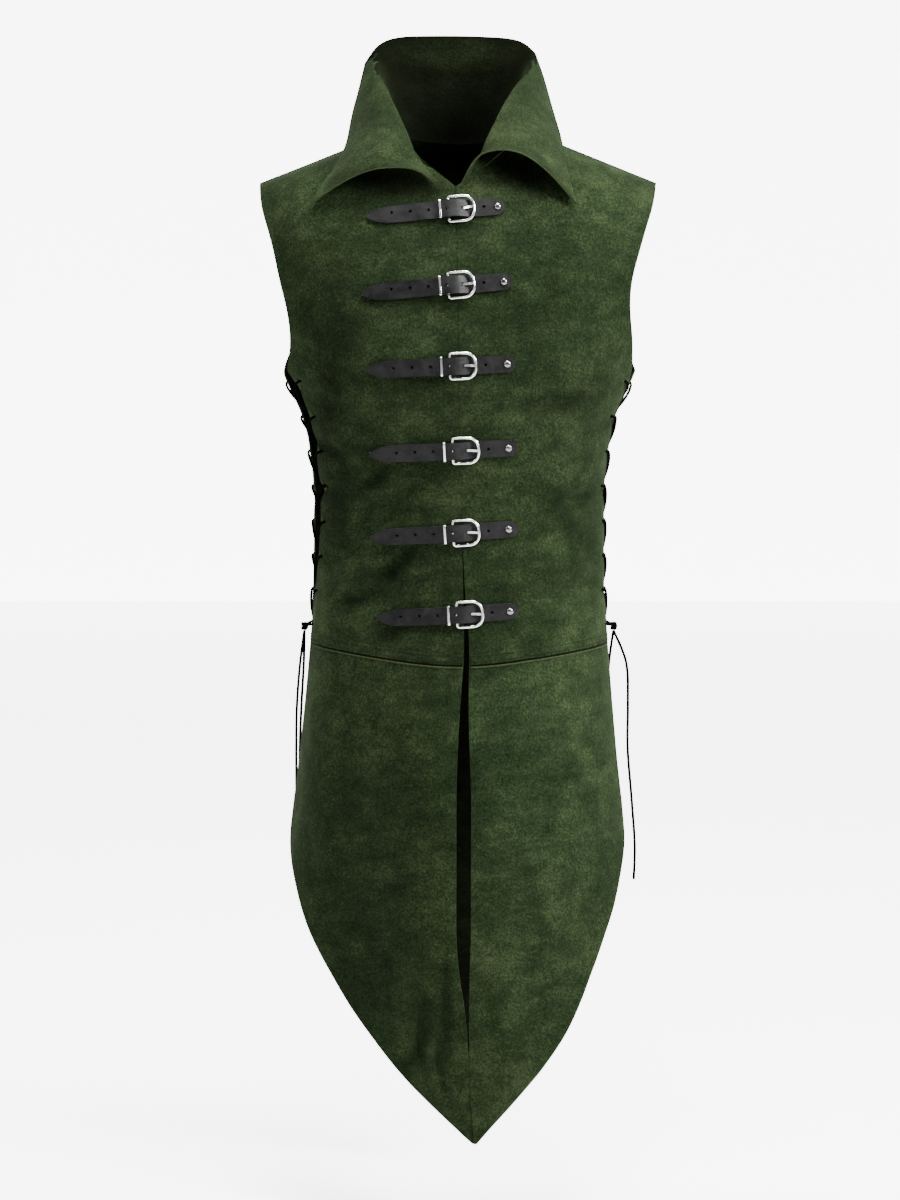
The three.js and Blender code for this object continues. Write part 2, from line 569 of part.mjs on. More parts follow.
/** The long strap: pointed end, raised over the bar, slotted for the tongue, round riveted end. */
function billetSolid(strap) {
  const point = 24;
  const half = STRAP.width / 2;
  const near = [-44, -38, -33, -18, -13, -9, -4.5, 0, 5, 10, SLOT.start, SLOT.end, 26.5, 34, 46];
  const tip = [0, 2, 7, 14, point].map((d) => strap.tip + d);
  const end = [9, 4.5, 1.2, 0].map((d) => strap.end - d);
  const stations = [...tip, ...near, ...end];
  const halfAt = (s) => {
    const fromTip = clamp((s - strap.tip) / point, 0, 1);
    const fromEnd = clamp((strap.end - s) / half, 0, 1);
    const pointed = Math.sin((fromTip * Math.PI) / 2) ** 0.7;
    const round = Math.sqrt(1 - (1 - fromEnd) ** 2);
    return Math.max(STRAP.nose, half * Math.min(pointed, round));
  };
  const grid = [-1, -SLOT.halfShare, SLOT.halfShare, 1].map((share) => stations.map((s) => {
    return onStrap(strap, s, share * halfAt(s), along(STRAP_RISE, 'height', s, 's'));
  }));
  const slot = stations.indexOf(SLOT.start);
  return wallSolid(grid, { thick: STRAP.thick, leftOut: [{ i: 1, j: slot }] });
}

/** Solid from a closed three.js geometry. */
function solidOf(geometry) {
  const bare = geometry.index ? geometry.toNonIndexed() : geometry.clone();
  bare.deleteAttribute('normal');
  bare.deleteAttribute('uv');
  const merged = mergeVertices(bare, 1e-4);
  return new wasm.Manifold(new wasm.Mesh({
    numProp: 3,
    vertProperties: new Float32Array(merged.attributes.position.array),
    triVerts: new Uint32Array(merged.index.array),
  }));
}

/** Geometry from a solid. */
function geometryOf(solid) {
  const mesh = solid.getMesh();
  const geometry = new THREE.BufferGeometry();
  geometry.setAttribute('position', new THREE.BufferAttribute(mesh.vertProperties, 3));
  geometry.setIndex(new THREE.BufferAttribute(mesh.triVerts, 1));
  geometry.computeVertexNormals();
  return geometry;
}

/** Short strap folded round the bar, with a channel for the keeper and a slot for the tongue. */
function chapeSolid(strap) {
  const width = 17;
  const hole = BAR.radius + BAR.clear;
  const wrap = hole + BAR.wrap;
  const y = BAR.height;
  const outline = new THREE.Shape();
  outline.moveTo(-33, STRAP.lie);
  outline.lineTo(-18, STRAP.lie);
  outline.lineTo(-4, STRAP.lie);
  outline.absarc(0, y, wrap, -Math.PI / 2, Math.PI / 2, false);
  outline.lineTo(-4.5, 7.0);
  outline.lineTo(-9, 5.1);
  outline.lineTo(-13, 4.2);
  outline.lineTo(-17, 3.5);
  outline.lineTo(-33, 3.5);
  outline.closePath();
  const inside = new THREE.Path();
  inside.moveTo(-11.5, 1.9);
  inside.lineTo(-2, 1.9);
  inside.absarc(0, y, hole, -Math.PI / 2, Math.PI / 2, false);
  inside.lineTo(-4.5, 5.4);
  inside.lineTo(-9, 3.5);
  inside.lineTo(-11.5, 3.5);
  inside.closePath();
  outline.holes.push(inside);
  const block = new THREE.ExtrudeGeometry(outline, { depth: width, bevelEnabled: false, curveSegments: 4 });
  const cutter = new THREE.BoxGeometry(10.4, 12, 3.4);
  cutter.translate(0.8, 5, width / 2);
  const cut = geometryOf(solidOf(block).subtract(solidOf(cutter)));
  const places = cut.attributes.position;
  for (let k = 0; k < places.count; k += 1) {
    const spot = onStrap(strap, places.getX(k), width / 2 - places.getZ(k), places.getY(k));
    places.setXYZ(k, spot.x, spot.y, spot.z);
  }
  return cut;
}

/** Outline of the buckle's wire: a straight bar and a round end. */
class BuckleOutline extends THREE.Curve {
  constructor() {
    super();
    this.length = 29;
    this.halfHeight = 14.25;
    this.corner = 3;
  }

  getPoint(t) {
    const { length, halfHeight, corner } = this;
    const straight = length - halfHeight - corner;
    const bar = 2 * (halfHeight - corner);
    const bend = (corner * Math.PI) / 2;
    const sweep = halfHeight * Math.PI;
    const runs = [bar, bend, straight, sweep, straight, bend];
    let at = t * runs.reduce((sum, run) => sum + run, 0);
    let k = 0;
    while (k < runs.length - 1 && at > runs[k]) {
      at -= runs[k];
      k += 1;
    }
    const share = at / runs[k];
    const arc = (x, y, r, from, to) => {
      const turn = lerp(from, to, share) * Math.PI;
      return new THREE.Vector3(x + r * Math.cos(turn), y + r * Math.sin(turn), 0);
    };
    if (k === 0) return new THREE.Vector3(0, bar / 2 - at, 0);
    if (k === 1) return arc(corner, corner - halfHeight, corner, 1, 1.5);
    if (k === 2) return new THREE.Vector3(corner + at, -halfHeight, 0);
    if (k === 3) return arc(length - halfHeight, 0, halfHeight, -0.5, 0.5);
    if (k === 4) return new THREE.Vector3(length - halfHeight - at, halfHeight, 0);
    return arc(corner, halfHeight - corner, corner, 0.5, 1);
  }
}

/** Flat profile drawn along the strap and up off the hide, as thick across the strap as given. */
function acrossStrap(shape, width, segments) {
  const settings = { depth: width, bevelEnabled: false, curveSegments: segments };
  const geometry = new THREE.ExtrudeGeometry(shape, settings);
  geometry.rotateX(Math.PI / 2);
  geometry.translate(0, width / 2, 0);
  return geometry;
}

/** Tongue: a ring round the bar and an arm that comes up through the strap onto the round end. */
function tongueGeometry() {
  const ring = BAR.radius + BAR.clear + 1.5;
  const y = BAR.height;
  const shape = new THREE.Shape();
  shape.moveTo(ring * Math.cos(-1.1), y + ring * Math.sin(-1.1));
  shape.lineTo(10, 2.0);
  shape.lineTo(16, 2.2);
  shape.lineTo(21, 4.0);
  shape.lineTo(25.6, 6.7);
  shape.lineTo(31.2, 7.3);
  shape.lineTo(31.2, 8.7);
  shape.lineTo(25.6, 8.7);
  shape.lineTo(20.2, 5.9);
  shape.lineTo(15.6, 4.2);
  shape.lineTo(10, 4.0);
  shape.lineTo(ring * Math.cos(-0.25), y + ring * Math.sin(-0.25));
  shape.absarc(0, y, ring, -0.25, 2 * Math.PI - 1.1, false);
  const inside = new THREE.Path();
  inside.absarc(0, y, BAR.radius + BAR.clear, 0, 2 * Math.PI, true);
  shape.holes.push(inside);
  return acrossStrap(shape, 2.6, 4);
}

/** Keeper: a thin metal loop round the strap, held in the folded strap below. */
function keeperGeometry() {
  const band = 1;
  const half = STRAP.width / 2 + 1.1;
  const low = 2.7;
  const high = 10.2;
  const loop = (grow, Kind) => {
    const path = new Kind();
    const corner = 1.2 + grow;
    const [left, right, bottom, top] = [-half - grow, half + grow, low - grow, high + grow];
    path.moveTo(left + corner, bottom);
    path.lineTo(right - corner, bottom);
    path.absarc(right - corner, bottom + corner, corner, -Math.PI / 2, 0, false);
    path.absarc(right - corner, top - corner, corner, 0, Math.PI / 2, false);
    path.absarc(left + corner, top - corner, corner, Math.PI / 2, Math.PI, false);
    path.absarc(left + corner, bottom + corner, corner, Math.PI, 1.5 * Math.PI, false);
    return path;
  };
  const shape = loop(band / 2, THREE.Shape);
  shape.holes.push(loop(-band / 2, THREE.Path));
  const geometry = new THREE.ExtrudeGeometry(shape, { depth: 2.2, bevelEnabled: false, curveSegments: 1 });
  geometry.translate(0, 0, -1.1);
  geometry.rotateX(Math.PI / 2);
  geometry.rotateZ(Math.PI / 2);
  return geometry;
}

/** Domed rivet head. */
function rivetGeometry() {
  const radius = 4.4;
  const rise = 2.4;
  const dome = [[radius * 0.8, rise * 0.7], [radius * 0.42, rise * 0.95], [0, rise]];
  const profile = [[0, 0], [radius, 0], [radius, 0.5], ...dome];
  const geometry = new THREE.LatheGeometry(profile.map(([x, y]) => new THREE.Vector2(x, y)), 8);
  geometry.rotateX(Math.PI / 2);
  return geometry;
}

/** Group whose axes run along the strap, across it and off the hide. */
function strapPlace(strap, s) {
  const origin = onStrap(strap, s, 0, 0);
  const run = onStrap(strap, s + 3, 0, 0).sub(onStrap(strap, s - 3, 0, 0)).normalize();
  const rise = onStrap(strap, s, 3, 0).sub(onStrap(strap, s, -3, 0));
  const off = run.clone().cross(rise).normalize();
  const up = off.clone().cross(run);
  const group = new THREE.Group();
  group.quaternion.setFromRotationMatrix(new THREE.Matrix4().makeBasis(run, up, off));
  group.position.copy(origin);
  return group;
}

/** Cord route whose rings stand exactly at its points. */
class CordRoute extends THREE.CatmullRomCurve3 {
  getUtoTmapping(share) {
    return share;
  }
}

/** Round cord through a list of points. */
function cordSolid(points, radius, sides) {
  const ring = Array.from({ length: sides }, (_, k) => {
    const turn = (2 * Math.PI * k) / sides;
    return new THREE.Vector2(radius * Math.cos(turn), radius * Math.sin(turn));
  });
  const extrudePath = new CordRoute(points, false, 'centripetal');
  const settings = { steps: points.length - 1, extrudePath, bevelEnabled: false };
  return new THREE.ExtrudeGeometry(new THREE.Shape(ring), settings);
}

/** Lacing holes down a panel's side edge, from the top one: middle, outward way, way to the edge. */
function laceHoles(grid, column) {
  const atStart = column === 0;
  const holes = [];
  for (let i = SIDE_ROWS.length - 2; i > 0; i -= 1) {
    if (!isHoleRow(i)) continue;
    const [a, b, c, d] = [grid[i][column], grid[i][column + 1], grid[i + 1][column + 1], grid[i + 1][column]];
    const centre = a.clone().add(b).add(c).add(d).multiplyScalar(0.25);
    const across = b.clone().sub(a).add(c).sub(d);
    const inset = across.length() / 4;
    across.normalize();
    const up = d.clone().sub(a).add(c).sub(b).normalize();
    const out = across.clone().cross(up).normalize();
    holes.push({ centre, out, inset, toEdge: across.multiplyScalar(atStart ? -1 : 1) });
  }
  return holes;
}

/** Criss-cross lace of one side: up one strand from the knot, across the top and down the other. */
function laceRoute(front, back, knot) {
  const last = LACE.pairs - 1;
  const past = 1.8;
  const clear = 2.7;
  const points = [];
  const place = (hole, way, height, lower = 0) => {
    const spot = hole.centre.clone().addScaledVector(hole.toEdge, way).addScaledVector(hole.out, height);
    return spot.setZ(spot.z - lower);
  };
  const atEdge = (hole, height, lower) => place(hole, hole.inset + past, height, lower);
  const atKnot = (hole) => {
    const way = atEdge(hole, clear + 1, 0).sub(knot);
    return way.setLength(KNOT.radius + KNOT.gap).add(knot);
  };
  const halfway = (p, q, height) => {
    const spot = atEdge(p, 0, 0).lerp(atEdge(q, 0, 0), 0.5);
    return spot.addScaledVector(p.out.clone().add(q.out).normalize(), height);
  };
  const through = (hole, inward) => {
    const level = inward ? clear : -clear;
    points.push(place(hole, 0.4, level), place(hole, 0.4, -level));
  };
  const pick = (k, flip) => ((k + flip) % 2 === 0 ? front[k] : back[k]);
  points.push(atKnot(pick(last, 0)));
  for (let k = last; k >= 0; k -= 1) {
    const hole = pick(k, 0);
    through(hole, true);
    if (k > 0) {
      const next = pick(k - 1, 0);
      points.push(atEdge(hole, -clear, -3), halfway(hole, next, -2.4), atEdge(next, clear, 3));
    }
  }
  points.push(halfway(pick(0, 0), pick(0, 1), -clear - 1.5));
  for (let k = 0; k <= last; k += 1) {
    const hole = pick(k, 1);
    if (k > 0) {
      const before = pick(k - 1, 1);
      points.push(atEdge(before, clear, 3), halfway(before, hole, 2.4), atEdge(hole, -clear, -3));
    }
    through(hole, false);
  }
  points.push(atKnot(pick(last, 1)));
  return points;
}

/** Knot: a small round lump. */
function knotGeometry(radius) {
  const steps = 6;
  const profile = Array.from({ length: steps + 1 }, (_, k) => {
    const turn = (Math.PI * k) / steps - Math.PI / 2;
    const out = k % steps === 0 ? 0 : radius * Math.cos(turn);
    return new THREE.Vector2(out, radius * KNOT.stretch * Math.sin(turn));
  });
  const geometry = new THREE.LatheGeometry(profile, 10);
  geometry.rotateX(Math.PI / 2);
  return geometry;
}

const jerkin = new THREE.Group();
const add = (name, geometry, finish, parent = jerkin) => {
  const mesh = new THREE.Mesh(geometry, finish);
  mesh.name = name;
  parent.add(mesh);
  return mesh;
};

// Chest and back
const lastPanelRow = PANEL_ROWS.length - 1;
const levelPanel = (i, j, normal) => {
  if (i === 0) normal.setZ(0);
  if (i === lastPanelRow && Math.abs(normal.y) < 0.75) normal.setY(0);
};
const punched = (column) => SIDE_ROWS.map((_, i) => ({ i, j: column })).filter((cell) => isHoleRow(cell.i));
const back = backGrid();
const lastFront = frontRight[0].length - 2;
const lastBack = back[0].length - 2;
add('front_left', wallSolid(frontLeft, { flatten: levelPanel, holes: punched(0) }), FINISH.suede);
add('front_right', wallSolid(frontRight, { flatten: levelPanel, holes: punched(lastFront) }), FINISH.suede);
const backHoles = [...punched(0), ...punched(lastBack)];
add('back', wallSolid(back, { flatten: levelPanel, holes: backHoles }), FINISH.suede);

// Skirts
const levelSkirt = (i, j, normal) => {
  if (i === LEAF.length - 1) normal.setZ(0);
};
add('skirt_front_left', wallSolid(turned(skirtGrid('left')), { flatten: levelSkirt }), FINISH.suede);
add('skirt_front_right', wallSolid(skirtGrid('right'), { flatten: levelSkirt }), FINISH.suede);
add('skirt_back', wallSolid(skirtGrid('back'), { flatten: levelSkirt }), FINISH.suede);

// Collar
add('collar', wallSolid(collarGrid()), FINISH.suede);

// Straps and buckles
const buckle = new BuckleOutline();
STRAPS.forEach((strap, k) => {
  const name = (piece) => `${piece}_${k + 1}`;
  add(name('billet'), billetSolid(strap), FINISH.strap);
  add(name('chape'), chapeSolid(strap), FINISH.strap);
  const atBar = strapPlace(strap, 0);
  const atKeeper = strapPlace(strap, STRAP.keeper);
  const atRivet = strapPlace(strap, strap.rivet);
  jerkin.add(atBar, atKeeper, atRivet);
  const frame = new THREE.TubeGeometry(buckle, 18, BAR.radius, 6, true);
  const tongue = tongueGeometry();
  tongue.translate(0, 0, -BAR.height);
  for (const piece of [frame, tongue]) {
    piece.rotateY(-radians(BAR.raise));
    piece.translate(0, 0, BAR.height);
  }
  add(name('frame'), frame, FINISH.nickel, atBar);
  add(name('tongue'), tongue, FINISH.nickel, atBar);
  add(name('keeper'), keeperGeometry(), FINISH.nickel, atKeeper);
  const rivet = rivetGeometry();
  rivet.translate(0, 0, along(STRAP_RISE, 'height', strap.rivet, 's') + STRAP.thick / 2 + STRAP.rivetGap);
  add(name('rivet'), rivet, FINISH.nickel, atRivet);
});

// Lacing at the sides, its knots and the hanging ends
const sides = [
  { name: 'left', front: laceHoles(frontLeft, 0), back: laceHoles(back, lastBack), sign: -1 },
  { name: 'right', front: laceHoles(frontRight, lastFront), back: laceHoles(back, 0), sign: 1 },
];
const ENDS = {
  left_outer: [[-186, -3, -600], [-190, -2, -650], [-191, -1, -700], [-191, -1, -760], [-190, -1, -850]],
  left_inner: [[-182, 3.5, -600], [-185, 5, -650], [-187, 6, -700], [-187, 7, -760], [-186, 8, -848]],
  right_outer: [
    [196, -2, -600], [198, -2, -650], [198, -1, -700], [203, 0, -760], [207, 0, -815], [206, 0, -856],
  ],
  right_inner: [[176, 4, -600], [173, 5, -650], [173, 5, -700], [174, 4, -760], [174, 3, -850]],
};
for (const { name, front, back: behind, sign } of sides) {
  const last = LACE.pairs - 1;
  const middle = front[last].centre.clone().lerp(behind[last].centre, 0.5);
  const knot = new THREE.Vector3(middle.x + sign * KNOT.out, middle.y, middle.z - KNOT.below);
  add(`lacing_${name}`, cordSolid(laceRoute(front, behind, knot), LACE.radius, LACE.sides), FINISH.cord);
  const lump = knotGeometry(KNOT.radius);
  lump.translate(knot.x, knot.y, knot.z);
  add(`knot_${name}`, lump, FINISH.cord);
  for (const which of ['outer', 'inner']) {
    const rest = ENDS[`${name}_${which}`].map(([x, y, z]) => new THREE.Vector3(x, y, z));
    const apart = which === 'outer' ? -KNOT.apart : KNOT.apart;
    const start = knot.clone().add(new THREE.Vector3(0, apart, -KNOT.radius * KNOT.stretch - SEAM));
    const route = new THREE.CatmullRomCurve3([start, ...rest], false, 'centripetal');
    const end = cordSolid(route.getSpacedPoints(LACE.endSteps), LACE.endRadius, LACE.endSides);
    add(`lace_end_${name}_${which}`, end, FINISH.cord);
  }
}

export default jerkin;
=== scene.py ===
"""Looks of a green suede jerkin: cloth, straps, buckles, lacing, light and camera."""
from __future__ import annotations

import json
import logging
import math
from dataclasses import dataclass, field
from enum import Enum
from typing import Any, ClassVar, Sequence

import bmesh
import bpy
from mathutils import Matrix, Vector
from mathutils.bvhtree import BVHTree

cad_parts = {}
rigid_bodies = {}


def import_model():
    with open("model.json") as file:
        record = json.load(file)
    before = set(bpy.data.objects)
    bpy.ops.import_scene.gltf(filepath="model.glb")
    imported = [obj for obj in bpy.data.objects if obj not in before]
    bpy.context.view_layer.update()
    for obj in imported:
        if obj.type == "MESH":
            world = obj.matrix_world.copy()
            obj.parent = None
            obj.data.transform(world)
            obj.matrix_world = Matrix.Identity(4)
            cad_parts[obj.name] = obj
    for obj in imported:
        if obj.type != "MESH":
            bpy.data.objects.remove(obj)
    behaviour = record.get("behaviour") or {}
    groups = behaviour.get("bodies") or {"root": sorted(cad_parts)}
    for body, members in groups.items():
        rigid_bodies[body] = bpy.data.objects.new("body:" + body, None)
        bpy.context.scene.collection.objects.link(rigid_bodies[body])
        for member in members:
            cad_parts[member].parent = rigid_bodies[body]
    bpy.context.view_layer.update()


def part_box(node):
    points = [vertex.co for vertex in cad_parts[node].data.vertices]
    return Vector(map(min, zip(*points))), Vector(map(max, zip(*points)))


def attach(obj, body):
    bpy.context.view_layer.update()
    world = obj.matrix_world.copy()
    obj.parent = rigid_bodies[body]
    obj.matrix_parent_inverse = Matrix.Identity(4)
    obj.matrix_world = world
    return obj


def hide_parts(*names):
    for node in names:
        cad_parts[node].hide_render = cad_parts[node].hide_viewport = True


LOG = logging.getLogger("jerkin")
MM = 0.001
STRAP_COUNT = 6
SAME_SPOT = 2e-6
OUTSIDE = 0.6
FINE_STEPS = 12
QUAD_FACE_ANGLE = 50
QUAD_SHAPE_ANGLE = 70
SMOOTH_ANGLE = 42
SIDES = ("left", "right")
Triple = tuple[float, float, float]
Stops = Sequence[tuple[float, Triple]]

# Hanging lace ends, the same routes as the solids, in millimetres
LACE_ENDS = {
    "left_outer": [(-186, -3, -600), (-190, -2, -650), (-191, -1, -700), (-191, -1, -760), (-190, -1, -850)],
    "left_inner": [(-182, 3.5, -600), (-185, 5, -650), (-187, 6, -700), (-187, 7, -760), (-186, 8, -848)],
    "right_outer": [
        (196, -2, -600), (198, -2, -650), (198, -1, -700), (203, 0, -760), (207, 0, -815), (206, 0, -856)],
    "right_inner": [(176, 4, -600), (173, 5, -650), (173, 5, -700), (174, 4, -760), (174, 3, -850)],
}


class Slot(Enum):
    """Material slots of the record."""

    SUEDE = "suede"
    STRAP = "strap"
    NICKEL = "nickel"
    CORD = "cord"


class Value:
    """A shader socket that adds its own Math nodes when it is used in an expression."""

    def __init__(self, tree: Shader, socket: bpy.types.NodeSocket) -> None:
        """Keeps the socket and the tree that it is in."""
        self.tree = tree
        self.socket = socket

    def _join(self, operation: str, first: Any, second: Any) -> Value:
        """Adds one Math node for two values."""
        return self.tree.node("ShaderNodeMath", {"operation": operation}, {0: first, 1: second})

    def __add__(self, other: Any) -> Value:
        """Sum."""
        return self._join("ADD", self, other)

    def __radd__(self, other: Any) -> Value:
        """Sum, reflected."""
        return self._join("ADD", other, self)

    def __sub__(self, other: Any) -> Value:
        """Difference."""
        return self._join("SUBTRACT", self, other)

    def __rsub__(self, other: Any) -> Value:
        """Difference, reflected."""
        return self._join("SUBTRACT", other, self)

    def __mul__(self, other: Any) -> Value:
        """Product."""
        return self._join("MULTIPLY", self, other)

    def __rmul__(self, other: Any) -> Value:
        """Product, reflected."""
        return self._join("MULTIPLY", other, self)


class Shader:
    """One material's node tree."""

    def __init__(self, name: str) -> None:
        """Makes an empty material with its output and its main shader.

        Args:
            name: The material's name.
        """
        self.material = bpy.data.materials.new(name)
        self.material.use_nodes = True
        self.tree = self.material.node_tree
        self.tree.nodes.clear()
        self.output = self.tree.nodes.new("ShaderNodeOutputMaterial")
        self.surface = self.tree.nodes.new("ShaderNodeBsdfPrincipled")
        self.tree.links.new(self.surface.outputs[0], self.output.inputs[0])

    def node(self, kind: str, settings: dict[str, Any] | None = None, inputs: dict[Any, Any] | None = None,
             output: Any = 0) -> Value:
        """Adds a node.

        Args:
            kind: The node's type.
            settings: Its settings, set before its sockets; `stops` fills a colour ramp.
            inputs: Values or links of its sockets, by name or number.
            output: The socket that is handed back.

        Returns:
            The chosen output as a value.
        """
        made = self.tree.nodes.new(kind)
        for key, value in (settings or {}).items():
            if key == "stops":
                self._fill_ramp(made.color_ramp, value)
            else:
                setattr(made, key, value)
        for key, value in (inputs or {}).items():
            self._feed(made.inputs[key], value)
        return Value(self, made.outputs[output])

    def _feed(self, socket: bpy.types.NodeSocket, value: Any) -> None:
        """Links or sets one socket.

        Args:
            socket: The socket.
            value: A value to link, or a plain number or colour.
        """
        if isinstance(value, Value):
            self.tree.links.new(value.socket, socket)
        else:
            socket.default_value = value

    @staticmethod
    def _fill_ramp(ramp: bpy.types.ColorRamp, stops: Stops) -> None:
        """Sets a colour ramp's stops.

        Args:
            ramp: The ramp, which has two stops at first.
            stops: Place and colour of each stop.
        """
        for number, (place, colour) in enumerate(stops):
            stop = ramp.elements[number] if number < 2 else ramp.elements.new(place)
            stop.position = place
            stop.color = (*colour, 1.0)

    def set(self, **values: Any) -> None:
        """Sets sockets of the main shader.

        Args:
            values: Values or links by socket name, with underscores for spaces.
        """
        for name, value in values.items():
            self._feed(self.surface.inputs[name.replace("_", " ")], value)

    def place(self, stretch: Triple = (1.0, 1.0, 1.0)) -> Value:
        """Object coordinates, stretched along the axes."""
        coordinates = self.node("ShaderNodeTexCoord", output="Object")
        return self.node("ShaderNodeMapping", inputs={"Vector": coordinates, "Scale": stretch})

    def noise(self, scale: float, detail: float, roughness: float, lean: float = 0.0,
              stretch: Triple = (1.0, 1.0, 1.0)) -> Value:
        """Cloudy pattern.

        Args:
            scale: Clouds to a metre.
            detail: Number of finer layers.
            roughness: Strength of the finer layers.
            lean: How far the clouds are warped.
            stretch: Squeeze of the pattern along each axis.

        Returns:
            A value from 0 to 1.
        """
        return self.node("ShaderNodeTexNoise", inputs={
            "Vector": self.place(stretch), "Scale": scale, "Detail": detail, "Roughness": roughness,
            "Distortion": lean})

    def ramp(self, factor: Value, stops: Stops) -> Value:
        """Colour ramp over a value."""
        return self.node("ShaderNodeValToRGB", {"stops": stops}, {"Fac": factor})

    def tint(self, share: float, colour: Value, factor: Value) -> Value:
        """Multiplies a colour by a factor or a second colour.

        Args:
            share: How much of the change counts.
            colour: The colour.
            factor: What it is multiplied by.

        Returns:
            The changed colour.
        """
        return self.node("ShaderNodeMix", {"data_type": "RGBA", "blend_type": "MULTIPLY"},
                         {0: share, 6: colour, 7: factor}, output=2)

    def bump(self, height: Value, strength: float, distance: float, below: Value | None = None) -> Value:
        """Bump normal from a height.

        Args:
            height: The height pattern.
            strength: How much of it counts.
            distance: Depth of the bumps in metres.
            below: Another bump under this one.

        Returns:
            The normal.
        """
        inputs = {"Height": height, "Strength": strength, "Distance": distance}
        if below is not None:
            inputs["Normal"] = below
        return self.node("ShaderNodeBump", inputs=inputs)


@dataclass(frozen=True)
class PaintedLightPatch:
    """Oval patch of painted shade on the front or, with a negative depth, of painted highlight.

    The place and half sizes are in millimetres, and the turn is in degrees up to the right.
    """

    across: float
    height: float
    run: float
    width: float
    turn: float
    depth: float
    front: float = -110.0
    reach: float = 150.0

    def shade(self, shader: Shader) -> Value:
        """Factor of the colour over this patch.

        Args:
            shader: The shader that gets the nodes.

        Returns:
            One away from the patch, and less or more inside it.
        """
        place = shader.node("ShaderNodeTexCoord", output="Object")
        inside = shader.node("ShaderNodeMapping", {"vector_type": "TEXTURE"}, {
            "Vector": place, "Location": (self.across * MM, self.front * MM, self.height * MM),
            "Rotation": (0.0, -math.radians(self.turn), 0.0),
            "Scale": (self.run * MM, self.reach * MM, self.width * MM)})
        away = shader.node("ShaderNodeVectorMath", {"operation": "LENGTH"}, {0: inside}, output="Value")
        mask = shader.node("ShaderNodeMapRange", {"interpolation_type": "SMOOTHSTEP"}, {
            "Value": away, "From Min": 0.2, "From Max": 1.7, "To Min": 1.0, "To Max": 0.0})
        return 1.0 - mask * self.depth


# Painted shade in the hollows at the waist, under the collar's points, beside the slit, along the left side
# and low on the skirt; where the depth is negative, painted highlights on ridges, on the shoulders and on
# the skirt's right half
PAINTED_LIGHT_PATCHES = tuple(PaintedLightPatch(*sizes) for sizes in (
    (-93, -381, 27, 9, 35, 0.62), (-75, -483, 36, 10, 42, 0.60), (-76, -556, 22, 8, 20, 0.55),
    (-134, -408, 12, 40, 0, 0.45), (-104, -420, 20, 7, 60, 0.35), (-118, -520, 26, 9, 30, 0.40),
    (-112, -350, 26, 10, -30, 0.35), (-90, -430, 20, 8, 25, -0.40), (-100, -505, 20, 8, 35, -0.40),
    (-150, -360, 16, 120, 0, 0.35), (-142, -220, 26, 90, 0, 0.30), (120, -293, 48, 12, 5, 0.42),
    (105, -400, 40, 14, -20, 0.25), (92, -500, 40, 12, 14, 0.25), (118, -450, 30, 14, 10, -0.20),
    (-14, -985, 7, 60, 0, 0.50), (-46, -1030, 38, 8, 62, 0.40), (-85, -860, 80, 220, 0, 0.24),
    (97, -690, 80, 130, 0, -0.40), (-172, -66, 34, 34, 0, -0.55), (160, -80, 40, 40, 0, -0.20),
    (-72, -50, 56, 17, -8, 0.82), (62, -32, 48, 17, -24, 0.82), (0, -1090, 60, 60, 0, 0.25),
))


@dataclass(frozen=True)
class Suede:
    """Mottled suede with a brushed nap, with painted shade and painted highlights from its patches."""

    name: str = "green_suede"
    dark: Triple = (0.0020, 0.0040, 0.0017)
    middle: Triple = (0.0056, 0.0096, 0.0040)
    light: Triple = (0.0135, 0.0200, 0.0085)
    # Patches of painted shade and painted highlight
    patches: tuple[PaintedLightPatch, ...] = PAINTED_LIGHT_PATCHES

    def make(self) -> bpy.types.Material:
        """Builds the material.

        Returns:
            The material.
        """
        shader = Shader(self.name)
        clouds = shader.noise(5.0, 2.0, 0.5, 0.3)
        patches = shader.noise(34.0, 5.0, 0.6, 0.4)
        strokes = shader.noise(60.0, 5.0, 0.65, 0.2, (0.35, 1.0, 1.0))
        grain = shader.noise(420.0, 3.0, 0.65)
        nap = shader.noise(1100.0, 3.0, 0.6)
        tone = clouds * 0.24 + patches * 0.24 + strokes * 0.24 + grain * 0.28
        colour = shader.ramp(tone, [(0.38, self.dark), (0.50, self.middle), (0.62, self.light)])
        fibres = shader.ramp(
            nap * 0.5 + grain * 0.5, [(0.36, (0.55, 0.55, 0.55)), (0.64, (1.5, 1.48, 1.42))])
        colour = shader.tint(0.8, colour, fibres)
        # Painted shade and painted highlights over the patches
        for patch in self.patches:
            colour = shader.tint(1.0, colour, patch.shade(shader))
        soft = shader.bump(patches, 0.3, 0.0018)
        rough = shader.bump(nap + grain * 0.8, 0.6, 0.0005, soft)
        shader.set(Base_Color=colour, Roughness=0.86 + nap * 0.12, Normal=rough)
        shader.set(Sheen_Weight=0.02, Sheen_Roughness=0.5, Specular_IOR_Level=0.01)
        shader.surface.inputs["Sheen Tint"].default_value = (0.55, 0.75, 0.35, 1.0)
        return shader.material


@dataclass(frozen=True)
class ShadedInside(Suede):
    """Suede on the faces that look in towards the wearer, darker and duller as painted shade."""

    name: str = "suede_inside_painted_shade"
    dark: Triple = (0.0003, 0.0005, 0.0002)
    middle: Triple = (0.0010, 0.0015, 0.0006)
    light: Triple = (0.0022, 0.0030, 0.0014)
    # Painted highlight along the top of the collar's inside, and painted shade lower in the neck
    patches: tuple[PaintedLightPatch, ...] = (
        PaintedLightPatch(0, 116, 60, 16, 0, -1.9, 90.0, 120.0), PaintedLightPatch(0, 10, 90, 50, 0, 0.75, 60.0, 120.0))


